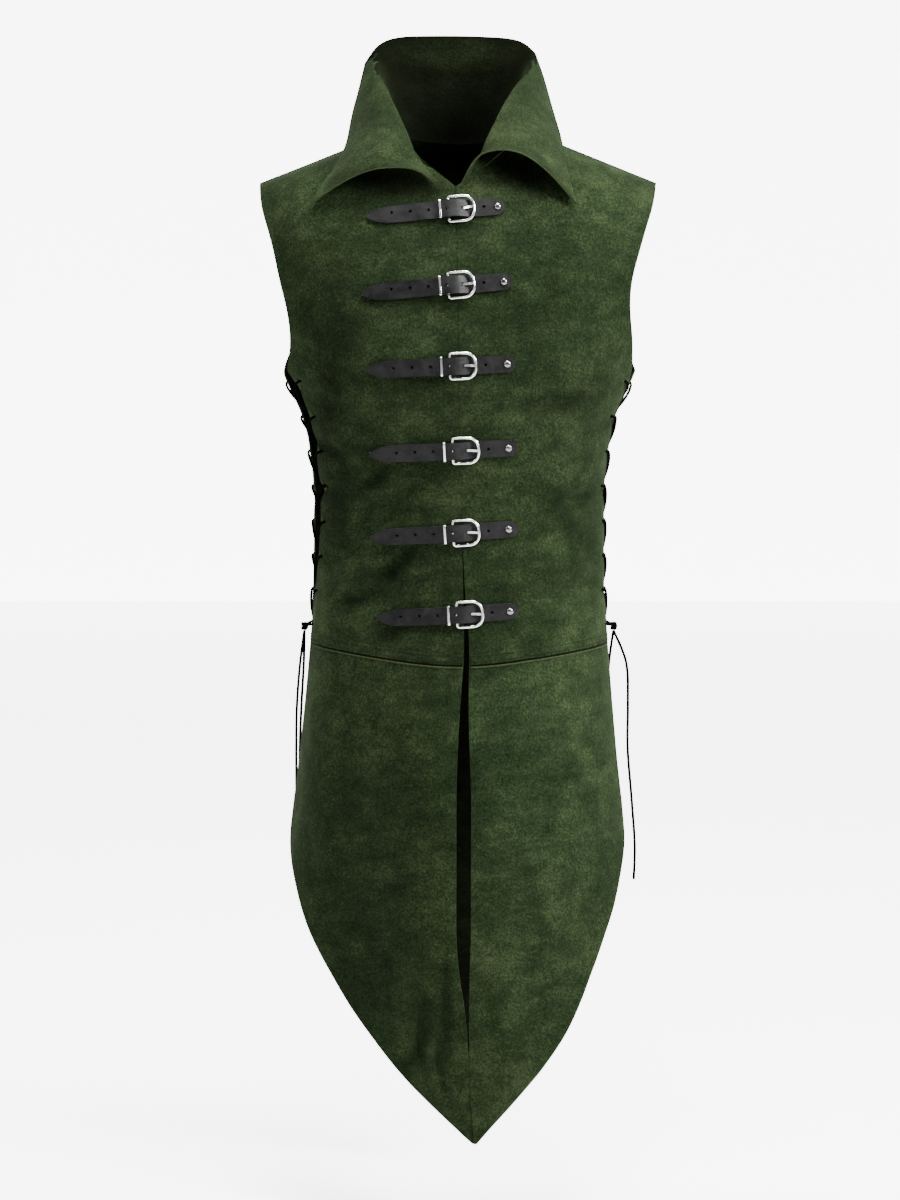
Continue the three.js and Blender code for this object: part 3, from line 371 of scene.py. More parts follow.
@dataclass(frozen=True)
class CutEdge:
    """Raw cut edge of the hide."""

    name: str = "cut_edge"

    def make(self) -> bpy.types.Material:
        """Builds the material.

        Returns:
            The material.
        """
        shader = Shader(self.name)
        grain = shader.noise(700.0, 4.0, 0.6)
        colour = shader.ramp(grain, [(0.3, (0.008, 0.012, 0.005)), (0.7, (0.023, 0.031, 0.013))])
        shader.set(Base_Color=colour, Roughness=0.9 + grain * 0.05, Normal=shader.bump(grain, 0.5, 0.0003))
        shader.set(Specular_IOR_Level=0.02)
        return shader.material


@dataclass(frozen=True)
class BlackHide:
    """Smooth black strap leather with fine creases and a soft shine."""

    name: str = "black_hide"

    def make(self) -> bpy.types.Material:
        """Builds the material.

        Returns:
            The material.
        """
        shader = Shader(self.name)
        grain = shader.node("ShaderNodeTexVoronoi", {"feature": "F1"}, {
            "Vector": shader.place(), "Scale": 1500.0, "Randomness": 1.0})
        wear = shader.noise(70.0, 4.0, 0.6, 0.5)
        scuff = shader.noise(260.0, 4.0, 0.6, 0.2, (0.25, 1.0, 1.0))
        colour = shader.ramp(wear, [(0.35, (0.0022, 0.0022, 0.0024)), (0.70, (0.006, 0.006, 0.0063))])
        bump = shader.bump(scuff, 0.25, 0.0004)
        bump = shader.bump(grain, 0.28, 0.00018, bump)
        shader.set(Base_Color=colour, Roughness=0.30 + wear * 0.22 + scuff * 0.06, Normal=bump)
        shader.set(Specular_IOR_Level=0.10)
        return shader.material


@dataclass(frozen=True)
class Nickel:
    """Bright nickel plate with faint handling marks."""

    name: str = "bright_nickel"
    dull: Triple = (0.52, 0.515, 0.50)
    bright: Triple = (0.78, 0.775, 0.76)

    def make(self) -> bpy.types.Material:
        """Builds the material.

        Returns:
            The material.
        """
        shader = Shader(self.name)
        haze = shader.noise(160.0, 4.0, 0.6, 0.3)
        marks = shader.noise(900.0, 2.0, 0.5, 0.0, (0.3, 1.0, 1.0))
        colour = shader.ramp(haze, [(0.3, self.dull), (0.7, self.bright)])
        shader.set(Base_Color=colour, Metallic=1.0, Roughness=0.14 + haze * 0.14,
                   Normal=shader.bump(marks, 0.06, 0.0002))
        return shader.material


@dataclass(frozen=True)
class WaxedCord:
    """Black round lace with a fine twist."""

    name: str = "black_lace"

    def make(self) -> bpy.types.Material:
        """Builds the material.

        Returns:
            The material.
        """
        shader = Shader(self.name)
        twist = shader.node("ShaderNodeTexWave", {"bands_direction": "DIAGONAL"}, {
            "Vector": shader.place(), "Scale": 260.0, "Distortion": 1.5})
        fuzz = shader.noise(1400.0, 3.0, 0.6)
        colour = shader.ramp(fuzz, [(0.3, (0.0006, 0.0006, 0.0007)), (0.7, (0.002, 0.002, 0.0021))])
        shader.set(Specular_IOR_Level=0.0)
        shader.set(Base_Color=colour, Roughness=0.5 + fuzz * 0.2,
                   Normal=shader.bump(twist + fuzz * 0.4, 0.35, 0.0003))
        return shader.material


@dataclass(frozen=True)
class Thread:
    """Waxed sewing thread."""

    name: str = "green_thread"

    def make(self) -> bpy.types.Material:
        """Builds the material.

        Returns:
            The material.
        """
        shader = Shader(self.name)
        twist = shader.noise(2200.0, 2.0, 0.5)
        colour = shader.ramp(twist, [(0.3, (0.0010, 0.0018, 0.0008)), (0.7, (0.0040, 0.0060, 0.0028))])
        shader.set(Base_Color=colour, Roughness=0.7 + twist * 0.1, Specular_IOR_Level=0.05)
        return shader.material


class Finishes:
    """Every material, made once."""

    def __init__(self) -> None:
        """Builds the materials."""
        self.suede = Suede().make()
        # Darker copy of the suede for faces that look inwards: painted shade
        self.inside = ShadedInside().make()
        self.edge = CutEdge().make()
        self.hide = BlackHide().make()
        self.nickel = Nickel().make()
        self.dark_metal = Nickel("dark_nickel", (0.09, 0.09, 0.09), (0.22, 0.22, 0.215)).make()
        self.cord = WaxedCord().make()
        self.thread = Thread().make()


@dataclass(frozen=True)
class Crease:
    """A soft trough or ridge in the hide, in millimetres and degrees round the body.

    The body is taken as a cylinder of one radius, and each crease bows a little along its run.
    """

    angle: float
    height: float
    run: float
    width: float
    depth: float
    turn: float
    body: ClassVar[float] = 150.0
    bow: ClassVar[float] = 0.004
    reach: ClassVar[float] = 9.0

    def push(self, spot: Vector) -> float:
        """How far the crease moves a point of the cloth, in metres.

        Args:
            spot: A point of the cloth.

        Returns:
            The distance outwards.
        """
        around = math.degrees(math.atan2(spot.x, -spot.y)) - self.angle
        around = (around + 180.0) % 360.0 - 180.0
        across = math.radians(around) * self.body
        up = spot.z / MM - self.height
        lean = math.radians(self.turn)
        along = across * math.cos(lean) + up * math.sin(lean)
        off = up * math.cos(lean) - across * math.sin(lean) + self.bow * along * along
        reach = (along / self.run) ** 2 + (off / self.width) ** 2
        if reach > self.reach:
            return 0.0
        return self.depth * MM * math.exp(-reach)


# Creases at the waist, beside the slit, on the skirts and on the back
CREASES = tuple(Crease(*sizes) for sizes in (
    (-30, -398, 46, 9, -2.6, 38), (-42, -430, 50, 10, -3.0, 24), (-52, -462, 44, 9, -2.6, 12),
    (-38, -492, 42, 8, -2.2, 44), (-24, -505, 34, 8, -2.0, 62), (-58, -520, 36, 8, -2.2, 8),
    (-62, -350, 42, 10, -2.2, -28), (-56, -300, 46, 12, -2.2, -40), (-70, -395, 34, 8, -2.0, 6),
    (62, -330, 44, 10, -2.0, 30), (66, -400, 40, 9, -2.2, 10), (56, -452, 46, 10, -2.4, -16),
    (44, -500, 40, 9, -1.8, -34), (68, -505, 34, 8, -2.0, -6), (30, -560, 40, 9, -1.4, -50),
    (-22, -1010, 44, 8, -2.6, 84), (-12, -1045, 38, 7, -2.4, 96), (-30, -940, 60, 14, 2.0, 78),
    (20, -980, 60, 14, 1.8, 100), (40, -860, 70, 16, 2.0, 84), (-55, -720, 60, 14, -1.8, 80),
    (62, -700, 60, 14, -1.8, 98), (10, -760, 80, 16, 1.4, 90), (-10, -820, 80, 16, 1.4, 88),
    (150, -420, 50, 10, -2.6, 24), (205, -440, 50, 10, -2.6, -22), (175, -480, 60, 12, -2.4, 4),
    (140, -500, 42, 9, -2.2, 34), (222, -505, 42, 9, -2.2, -34), (190, -380, 60, 12, -2.0, -10),
    (168, -900, 80, 18, 2.0, 88), (200, -960, 70, 16, -2.0, 94), (150, -760, 70, 16, 1.8, 84),
))


def only(piece: bpy.types.Object) -> None:
    """Selects one object and makes it active.

    Args:
        piece: The object.
    """
    bpy.ops.object.select_all(action="DESELECT")
    piece.select_set(True)
    bpy.context.view_layer.objects.active = piece


def apply_modifiers(piece: bpy.types.Object) -> None:
    """Applies all of a piece's modifiers.

    Args:
        piece: The piece, which is left selected.
    """
    only(piece)
    for modifier in list(piece.modifiers):
        bpy.ops.object.modifier_apply(modifier=modifier.name)


def add_piece(name: str, data: bpy.types.ID) -> bpy.types.Object:
    """Adds a mesh, a curve, a light or a camera to the scene as an object.

    Args:
        name: The object's name.
        data: The mesh or other data.

    Returns:
        The object.
    """
    piece = bpy.data.objects.new(name, data)
    bpy.context.scene.collection.objects.link(piece)
    return piece


def add_shape(name: str, shape: bmesh.types.BMesh) -> bpy.types.Object:
    """Turns a finished shape into an object and frees the shape.

    Args:
        name: The name of the object and of its mesh.
        shape: The shape.

    Returns:
        The object, selected alone.
    """
    mesh = bpy.data.meshes.new(name)
    shape.to_mesh(mesh)
    shape.free()
    piece = add_piece(name, mesh)
    only(piece)
    return piece


def round_tube(name: str, spots: list[Vector], radius: float, sides: int, closed: bool) -> bpy.types.Object:
    """Makes a round cord or wire as a curve.

    Args:
        name: The object's name.
        spots: Points of its centreline, in metres.
        radius: Its radius in metres.
        sides: The roundness of its section, as the curve's bevel resolution.
        closed: Whether it joins up into a ring.

    Returns:
        The curve object.
    """
    curve = bpy.data.curves.new(name, "CURVE")
    curve.dimensions = "3D"
    curve.bevel_depth = radius
    curve.bevel_resolution = sides
    curve.use_fill_caps = not closed
    spline = curve.splines.new("POLY")
    spline.points.add(len(spots) - 1)
    for point, spot in zip(spline.points, spots):
        point.co = (*spot, 1.0)
    spline.use_cyclic_u = closed
    spline.use_smooth = True
    return add_piece(name, curve)


def dress(piece: bpy.types.Object, slot: Slot, *materials: bpy.types.Material) -> None:
    """Gives a piece its materials and its place on the body, and logs its slot in the record.

    Args:
        piece: The piece.
        slot: Its slot in the record.
        materials: Its materials, in the order of its faces' material numbers.
    """
    kinds = [face.material_index for face in piece.data.polygons] if piece.type == "MESH" else []
    piece.data.materials.clear()
    for material in materials:
        piece.data.materials.append(material)
    if len(materials) > 1:
        for face, kind in zip(piece.data.polygons, kinds):
            face.material_index = kind
    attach(piece, "root")
    LOG.info("%s: %s", piece.name, slot.value)


def finer_copy(node: str, name: str, levels: int, sharp: float = 48.0, rim: float = 0.0,
               grow: float = 0.0) -> bpy.types.Object:
    """Copies a solid as a smooth, finer mesh on the same form.

    Args:
        node: The solid's node.
        name: The new piece's name.
        levels: Subdivision levels.
        sharp: Angle in degrees past which an edge stays sharp.
        rim: Faces with an edge shorter than this, in metres, get the second material.
        grow: How far the surface is moved out afterwards, in metres.

    Returns:
        The new piece.
    """
    source = next(o for o in bpy.data.objects if o.name == node)
    piece = add_piece(name, source.data.copy())
    only(piece)
    bpy.ops.object.mode_set(mode="EDIT")
    bpy.ops.mesh.select_all(action="SELECT")
    bpy.ops.mesh.remove_doubles(threshold=SAME_SPOT)
    bpy.ops.mesh.tris_convert_to_quads(
        face_threshold=math.radians(QUAD_FACE_ANGLE), shape_threshold=math.radians(QUAD_SHAPE_ANGLE))
    bpy.ops.object.mode_set(mode="OBJECT")
    shape = bmesh.new()
    shape.from_mesh(piece.data)
    creases = shape.edges.layers.float.get("crease_edge") or shape.edges.layers.float.new("crease_edge")
    for edge in shape.edges:
        if len(edge.link_faces) == 2 and edge.calc_face_angle() > math.radians(sharp):
            edge[creases] = 1.0
    for face in shape.faces:
        hard = [edge for edge in face.edges if edge[creases] > 0]
        facing = any(not set(one.verts) & set(other.verts) for one in hard for other in hard)
        face.material_index = int(facing and min(e.calc_length() for e in face.edges) < rim)
        face.smooth = True
    shape.to_mesh(piece.data)
    shape.free()
    if levels:
        finer = piece.modifiers.new("finer", "SUBSURF")
        finer.levels = levels
        finer.render_levels = levels
        apply_modifiers(piece)
    if grow:
        moved = [vertex.co + vertex.normal * grow for vertex in piece.data.vertices]
        for vertex, spot in zip(piece.data.vertices, moved):
            vertex.co = spot
    only(piece)
    bpy.ops.object.shade_smooth_by_angle(angle=math.radians(SMOOTH_ANGLE))
    return piece


@dataclass
class Cloth:
    """The suede panels, their creases, the waist seam's lip and its stitches.

    Heights, bows and depths are in millimetres.
    """

    finishes: Finishes
    rim: float = 2.4 * MM
    panels: dict[str, tuple[tuple[float, float], float, str]] = field(default_factory=lambda: {
        "front_left": ((0.27, 0.62), 0.128, "hung"),
        "front_right": ((0.27, 0.62), 0.128, "hung"),
        "back": ((0.52, 0.62), 0.27, "hung"),
        "skirt_front_left": ((0.26, 0.60), 0.1, "hung"),
        "skirt_front_right": ((0.24, 0.60), 0.095, "hung"),
        "skirt_back": ((0.47, 0.60), 0.2, "hung"),
        "collar": ((0.52, 0.20), 0.066, "draped"),
    })
    laced: tuple[str, ...] = ("front_left", "front_right", "back")
    top_eyelet: float = -272.0
    eyelet_pitch: float = 40.0
    bow: float = 2.6
    bow_width: float = 9.0
    crease_depth: float = 2.6
    made: dict[str, bpy.types.Object] = field(default_factory=dict)

    def build(self) -> None:
        """Builds every panel and the seams between them."""
        for node, (flat, area, held) in self.panels.items():
            piece = finer_copy(node, f"{node}_cloth", 2, rim=self.rim)
            if node != "collar":
                self._crease(piece)
            if node in self.laced:
                self._scallop(piece)
            if node == "skirt_front_left":
                self._tuck_tip(piece)
            if node == "collar":
                self._drop_left_edge(piece)
            self._mark_inside(piece)
            dress(piece, Slot.SUEDE, self.finishes.suede, self.finishes.edge, self.finishes.inside)
            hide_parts(node)
            self.made[node] = piece
        self._waist_seam()
        tape = NeckTape().build([self.made["collar"], self.made["back"]])
        # The tape wears the inside finish: painted shade
        dress(tape, Slot.SUEDE, self.finishes.inside)

    @staticmethod
    def _mark_inside(piece: bpy.types.Object) -> None:
        """Gives the faces that look in towards the wearer the inside finish, which paints them darker as
        shade.

        Args:
            piece: A cloth, which may be the collar, whose rolled front keeps its outside finish.
        """
        for face in piece.data.polygons:
            away = Vector((face.center.x, face.center.y, 0.0)).normalized()
            rolled = piece.name.startswith("collar") and face.center.y < 0.02
            if face.normal.dot(away) < -0.45 and not rolled and face.material_index == 0:
                face.material_index = 2

    def _scallop(self, piece: bpy.types.Object) -> None:
        """Bows the laced edges out between the eyelets, where the lace doesn't hold them back.

        Args:
            piece: A laced panel.
        """
        band = 8 * MM
        bins: dict[int, list[float]] = {}
        turns = []
        for vertex in piece.data.vertices:
            turn = math.degrees(math.atan2(vertex.co.x, -vertex.co.y))
            if piece.name.startswith("back"):
                turn %= 360.0
            turns.append(turn)
            bins.setdefault(round(vertex.co.z / band), []).append(turn)
        lace_end = self.top_eyelet - 7.5 * self.eyelet_pitch
        for vertex, turn in zip(piece.data.vertices, turns):
            height = vertex.co.z / MM
            if not lace_end < height < self.top_eyelet + 30:
                continue
            around = bins[round(vertex.co.z / band)]
            radius = math.hypot(vertex.co.x, vertex.co.y)
            wave = 0.5 - 0.5 * math.cos(math.tau * (height - self.top_eyelet) / self.eyelet_pitch)
            for edge, way in ((min(around), -1.0), (max(around), 1.0)):
                if abs(edge) < 50 or abs(edge) > 310:
                    continue
                off = math.radians(abs(turn - edge)) * radius / MM
                shift = way * self.bow * MM * wave * math.exp(-(off / self.bow_width) ** 2)
                angle = math.radians(turn)
                vertex.co += Vector((math.cos(angle), math.sin(angle), 0.0)) * shift

    @staticmethod
    def _drop_left_edge(piece: bpy.types.Object) -> None:
        """Lets the collar's left front edge hang lower beside the V.

        Args:
            piece: The collar.
        """
        drop = Vector((0.0, -5.0, -13.0)) * MM
        for vertex in piece.data.vertices:
            if vertex.co.x > -2 * MM or vertex.co.y > -0.06:
                continue
            near = math.exp(-((vertex.co.x / MM + 27) / 17) ** 2)
            low = min(max((0.012 - vertex.co.z) / 0.03, 0.0), 1.0)
            vertex.co += drop * near * low

    @staticmethod
    def _tuck_tip(piece: bpy.types.Object) -> None:
        """Slides the left half's tip a little way behind the right half's.

        Args:
            piece: The left half of the front skirt.
        """
        tuck = Vector((2.4 * MM, 2.3 * MM, 0.0))
        edge = max(vertex.co.x for vertex in piece.data.vertices if vertex.co.z < -1.1)
        for vertex in piece.data.vertices:
            low = min(max((-1.02 - vertex.co.z) / 0.09, 0.0), 1.0)
            near = math.exp(-max(edge - vertex.co.x, 0.0) / (14 * MM))
            vertex.co += tuck * low * near

    def _crease(self, piece: bpy.types.Object) -> None:
        """Presses the creases into a panel.

        Args:
            piece: The panel.
        """
        for vertex in piece.data.vertices:
            push = self.crease_depth * sum(crease.push(vertex.co) for crease in CREASES)
            if push:
                away = Vector((vertex.co.x, vertex.co.y, 0.0)).normalized()
                vertex.co += away * push
        piece.data.update()

    def _waist_seam(self) -> None:
        """Adds the lip, a dark strip of painted shadow under it, the welt and two rows of stitches along the
        waist seam.
        """
        runs = {"front_left": (-83.0, 1.8), "front_right": (3.9, 83.0), "back": (97.0, 263.0)}
        for node, (first, last) in runs.items():
            panel = Skin([self.made[node], self.made[self._skirt_under(node)]])
            lip = SeamLip(f"seam_lip_{node}", first, last).build(panel)
            dress(lip, Slot.SUEDE, self.finishes.suede)
            # Dark strip in the inside finish under the lip: painted shadow
            shadow_strip = SeamLip(f"seam_groove_{node}", first, last, profile=SHADOW_STRIP_PROFILE).build(panel)
            dress(shadow_strip, Slot.SUEDE, self.finishes.inside)
            welt = SeamLip(f"seam_welt_{node}", first, last, profile=WELT_PROFILE).build(panel)
            dress(welt, Slot.SUEDE, self.finishes.edge)
            for number, rise in enumerate((7.4, 0.9)):
                row = StitchRow(f"stitches_{node}_{number + 1}", first, last, rise).build(Skin([lip]))
                dress(row, Slot.SUEDE, self.finishes.thread)

    @staticmethod
    def _skirt_under(node: str) -> str:
        """Name of the skirt piece under a chest or back panel."""
        return f"skirt_{node}"


@dataclass
class NeckTape:
    """Narrow tape that covers the neck seam from inside, in millimetres and degrees."""

    middle: tuple[float, float] = (0.0, 0.0)
    first: float = 82.0
    last: float = 278.0
    steps: int = 48
    rows: tuple[float, ...] = (-7.0, -4.0, -1.5, 2.0, 5.0, 9.0)
    thick: float = 0.9
    inset: float = 0.7
    seam: float = 9.5
    seam_rise: float = 6.0
    look: float = 120.0

    def build(self, pieces: list[bpy.types.Object]) -> bpy.types.Object:
        """Lays the tape on the inside of the collar and the back.

        Args:
            pieces: The collar and the back panel.

        Returns:
            The tape.
        """
        trees = [BVHTree.FromObject(piece, bpy.context.evaluated_depsgraph_get()) for piece in pieces]
        shape = bmesh.new()
        strips = []
        for step in range(self.steps + 1):
            turn = math.radians(self.first + (self.last - self.first) * step / self.steps)
            way = Vector((math.sin(turn), -math.cos(turn), 0.0))
            seam = (self.seam + self.seam_rise * abs(math.sin(turn)) ** 2) * MM
            strip = []
            for row in self.rows:
                start = Vector((*self.middle, seam + row * MM))
                hits = [tree.ray_cast(start, way, self.look * MM)[3] for tree in trees]
                reach = [far for far in hits if far is not None]
                strip.append([start, way, min(reach) if reach else None])
            known = [far for _, _, far in strip if far is not None]
            if not known:
                continue
            for part in strip:
                part[2] = min(part[2] or max(known), max(known))
            strips.append([shape.verts.new(a + b * (far - self.inset * MM)) for a, b, far in strip])
        for near, far in zip(strips, strips[1:]):
            for k in range(len(self.rows) - 1):
                shape.faces.new((near[k], near[k + 1], far[k + 1], far[k]))
        tape = add_shape("neck_tape", shape)
        thick = tape.modifiers.new("thick", "SOLIDIFY")
        thick.thickness = self.thick * MM
        thick.offset = 0.0
        apply_modifiers(tape)
        bpy.ops.object.shade_smooth_by_angle(angle=math.radians(45))
        return tape


class Skin:
    """Outer surface of some pieces, found by looking in towards the middle of the body."""

    def __init__(self, pieces: list[bpy.types.Object]) -> None:
        """Builds a search tree of each piece.

        Args:
            pieces: The pieces.
        """
        self.trees = []
        for piece in pieces:
            shape = bmesh.new()
            shape.from_mesh(piece.data)
            self.trees.append(BVHTree.FromBMesh(shape))
            shape.free()

    def at(self, angle: float, height: float) -> tuple[Vector, Vector] | None:
        """Finds the outer surface.

        Args:
            angle: Degrees round the body from the centre front.
            height: Height in metres.

        Returns:
            The place and its outward normal, or nothing where there is no cloth.
        """
        turn = math.radians(angle)
        way = Vector((math.sin(turn), -math.cos(turn), 0.0))
        start = way * OUTSIDE + Vector((0, 0, height))
        best = None
        for tree in self.trees:
            spot, normal, _, far = tree.ray_cast(start, -way)
            if spot is not None and (best is None or far < best[2]):
                best = (spot, normal, far)
        if best is None:
            return None
        return best[0], best[1] if best[1].dot(way) > 0 else -best[1]


def waist_height(angle: float) -> float:
    """Height of the waist seam, which dips at the centre front.

    Args:
        angle: Degrees round the body from the centre front.

    Returns:
        The height in metres.
    """
    side, centre = -0.570, -0.588
    if abs(angle) > 90:
        return side
    return side + (centre - side) * math.cos(math.radians(angle)) ** 2


@dataclass
class SeamLip:
    """Turned lip of the chest panel that covers the waist seam, or a strip below it.

    The profile is in millimetres: rise from the seam and height off the cloth.
    """

    name: str
    first: float
    last: float
    steps: int = 70
    above: float = 1.5
    profile: tuple[tuple[float, float], ...] = (
        (-2.2, -0.2), (-2.4, 0.7), (-1.4, 1.25), (1.0, 1.3), (5.0, 1.2), (8.2, 1.0), (9.2, 0.4), (9.2, -0.3))

    def build(self, skin: Skin) -> bpy.types.Object:
        """Lofts the lip's profile along the seam.

        Args:
            skin: The surface that carries it.

        Returns:
            The lip.
        """
        shape = bmesh.new()
        rings = []
        for step in range(self.steps + 1):
            angle = self.first + (self.last - self.first) * step / self.steps
            ring = []
            for rise, out in self.profile:
                height = waist_height(angle) + rise * MM
                found = skin.at(angle, height)
                if found is None:
                    found = skin.at(angle, waist_height(angle) + self.above * MM)
                if found is None:
                    ring = []
                    break
                spot, normal = found
                flat = Vector((normal.x, normal.y, 0.0)).normalized()
                ring.append(shape.verts.new(Vector((spot.x, spot.y, height)) + flat * out * MM))
            if ring:
                rings.append(ring)
        count = len(self.profile)
        for near, far in zip(rings, rings[1:]):
            for k in range(count):
                shape.faces.new((near[k], far[k], far[(k + 1) % count], near[(k + 1) % count]))
        shape.faces.new(rings[0])
        shape.faces.new(list(reversed(rings[-1])))
        bmesh.ops.recalc_face_normals(shape, faces=shape.faces)
        lip = add_shape(self.name, shape)
        bpy.ops.object.shade_smooth_by_angle(angle=math.radians(50))
        return lip


# Rise and height off the cloth, in millimetres, of the dark strip of painted shadow under the lip and of the
# welt below it
SHADOW_STRIP_PROFILE = ((-4.5, -0.3), (-4.5, 0.75), (-2.2, 0.75), (-2.2, -0.3))
WELT_PROFILE = ((-6.4, -0.3), (-6.2, 0.8), (-5.4, 1.2), (-4.6, 0.9), (-4.3, -0.3))


@dataclass
class StitchRow:
    """Row of sewn stitches that lie on the cloth, in millimetres and degrees."""

    name: str
    first: float
    last: float
    rise: float
    pitch: float = 3.6
    length: float = 2.5
    thick: float = 0.55
    waist: float = 950.0
    sides: int = 6
    rings: tuple[Triple, ...] = (
        (-0.5, 0.45, -0.15), (-0.28, 1.0, 0.18), (0.28, 1.0, 0.18), (0.5, 0.45, -0.15))

    def build(self, skin: Skin) -> bpy.types.Object:
        """Lays the stitches along the seam.

        Args:
            skin: The surface that carries them.

        Returns:
            All the stitches as one piece.
        """
        shape = bmesh.new()
        girth = abs(self.last - self.first) / 360 * self.waist
        count = int(girth / self.pitch)
        for step in range(count):
            angle = self.first + (self.last - self.first) * (step + 0.5) / count
            found = skin.at(angle, waist_height(angle) + self.rise * MM)
            if found is None:
                continue
            spot, normal = found
            turn = math.radians(angle)
            run = Vector((math.cos(turn), math.sin(turn), 0.0))
            run = (run - normal * run.dot(normal)).normalized()
            self._stitch(shape, spot, run, normal)
        row = add_shape(self.name, shape)
        bpy.ops.object.shade_smooth()
        return row

    def _stitch(self, shape: bmesh.types.BMesh, spot: Vector, run: Vector, out: Vector) -> None:
        """Adds one stitch: a short bowed bead that dips into the cloth at its ends.

        Args:
            shape: The shape that gets the stitch.
            spot: Its middle.
            run: The way it runs.
            out: The way off the cloth.
        """
        side = out.cross(run)
        turns = [math.tau * k / self.sides for k in range(self.sides)]
        rings = []
        for share, wide, lift in self.rings:
            middle = spot + run * (share * self.length * MM) + out * (lift * MM)
            size = self.thick * wide * MM
            rings.append([shape.verts.new(middle + (side * math.cos(turn) + out * math.sin(turn)) * size)
                          for turn in turns])
        for near, far in zip(rings, rings[1:]):
            for k in range(self.sides):
                after = (k + 1) % self.sides
                shape.faces.new((near[k], near[after], far[after], far[k]))
        shape.faces.new(list(reversed(rings[0])))
        shape.faces.new(rings[-1])


@dataclass
class Strap:
    """One buckled strap: billet with punched holes, folded strap, buckle, tongue, keeper and rivet.

    Holes are placed in millimetres from the buckle's bar, and none lies near an end of the billet.
    """

    number: int
    finishes: Finishes
    holes: tuple[float, ...] = (-63.0, -42.0, -21.5, -0.5, 40.5)
    hole_radius: float = 1.75
    hole_sides: int = 20
    hole_depth: float = 9.0
    width: float = 18.5
    bar_in: float = 2.0
    clear_of_point: float = 12.0
    clear_of_end: float = 18.0

    def build(self) -> None:
        """Builds the six pieces."""
        self._billet()
        chape = finer_copy(f"chape_{self.number}", f"chape_{self.number}_hide", 1)
        dress(chape, Slot.STRAP, self.finishes.hide)
        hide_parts(f"chape_{self.number}")
        wire = BuckleWire(self.number)
        bright, dark = self.finishes.nickel, self.finishes.dark_metal
        metals = (("tongue", -0.1, bright), ("keeper", 0.0, bright), ("rivet", 0.15, dark))
        for piece, grow, finish in metals:
            node = f"{piece}_{self.number}"
            metal = finer_copy(node, f"{node}_metal", 2, sharp=60.0, grow=grow * MM)
            if piece == "tongue":
                wire.shorten(metal)
            dress(metal, Slot.NICKEL, finish)
            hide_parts(node)
        frame = wire.build()
        dress(frame, Slot.NICKEL, self.finishes.nickel)
        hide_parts(f"frame_{self.number}")

    def _billet(self) -> None:
        """Builds the long strap and punches its holes."""
        node = f"billet_{self.number}"
        billet = finer_copy(node, f"{node}_hide", 2)
        low, high = (Vector(corner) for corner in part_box(node))
        frame_low, frame_high = (Vector(corner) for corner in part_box(f"frame_{self.number}"))
        bar = Vector((frame_low.x + self.bar_in * MM, 0.0, (frame_low.z + frame_high.z) / 2))
        skin = BVHTree.FromObject(billet, bpy.context.evaluated_depsgraph_get())
        lean = (high.z - low.z - self.width * MM) / (high.x - low.x)
        first, last = low.x + self.clear_of_point * MM, high.x - self.clear_of_end * MM
        cutters = []
        for place in self.holes:
            x = bar.x + place * MM
            z = bar.z + place * MM * lean
            spot, normal, _, _ = skin.ray_cast(Vector((x, -OUTSIDE, z)), Vector((0, 1, 0)))
            if spot is None or not first < x < last:
                continue
            bpy.ops.object.select_all(action="DESELECT")
            bpy.ops.mesh.primitive_cylinder_add(
                vertices=self.hole_sides, radius=self.hole_radius * MM, depth=self.hole_depth * MM,
                location=spot, rotation=normal.to_track_quat("Z", "Y").to_euler())
            bpy.ops.object.transform_apply(location=True, rotation=True, scale=True)
            cutters.append(bpy.context.object)
        for cutter in cutters:
            punch = billet.modifiers.new("punch", "BOOLEAN")
            punch.operation = "DIFFERENCE"
            punch.solver = "EXACT"
            punch.object = cutter
        apply_modifiers(billet)
        for cutter in cutters:
            bpy.data.objects.remove(cutter, do_unlink=True)
        only(billet)
        bpy.ops.object.shade_smooth_by_angle(angle=math.radians(SMOOTH_ANGLE))
        dress(billet, Slot.STRAP, self.finishes.hide)
        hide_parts(node)


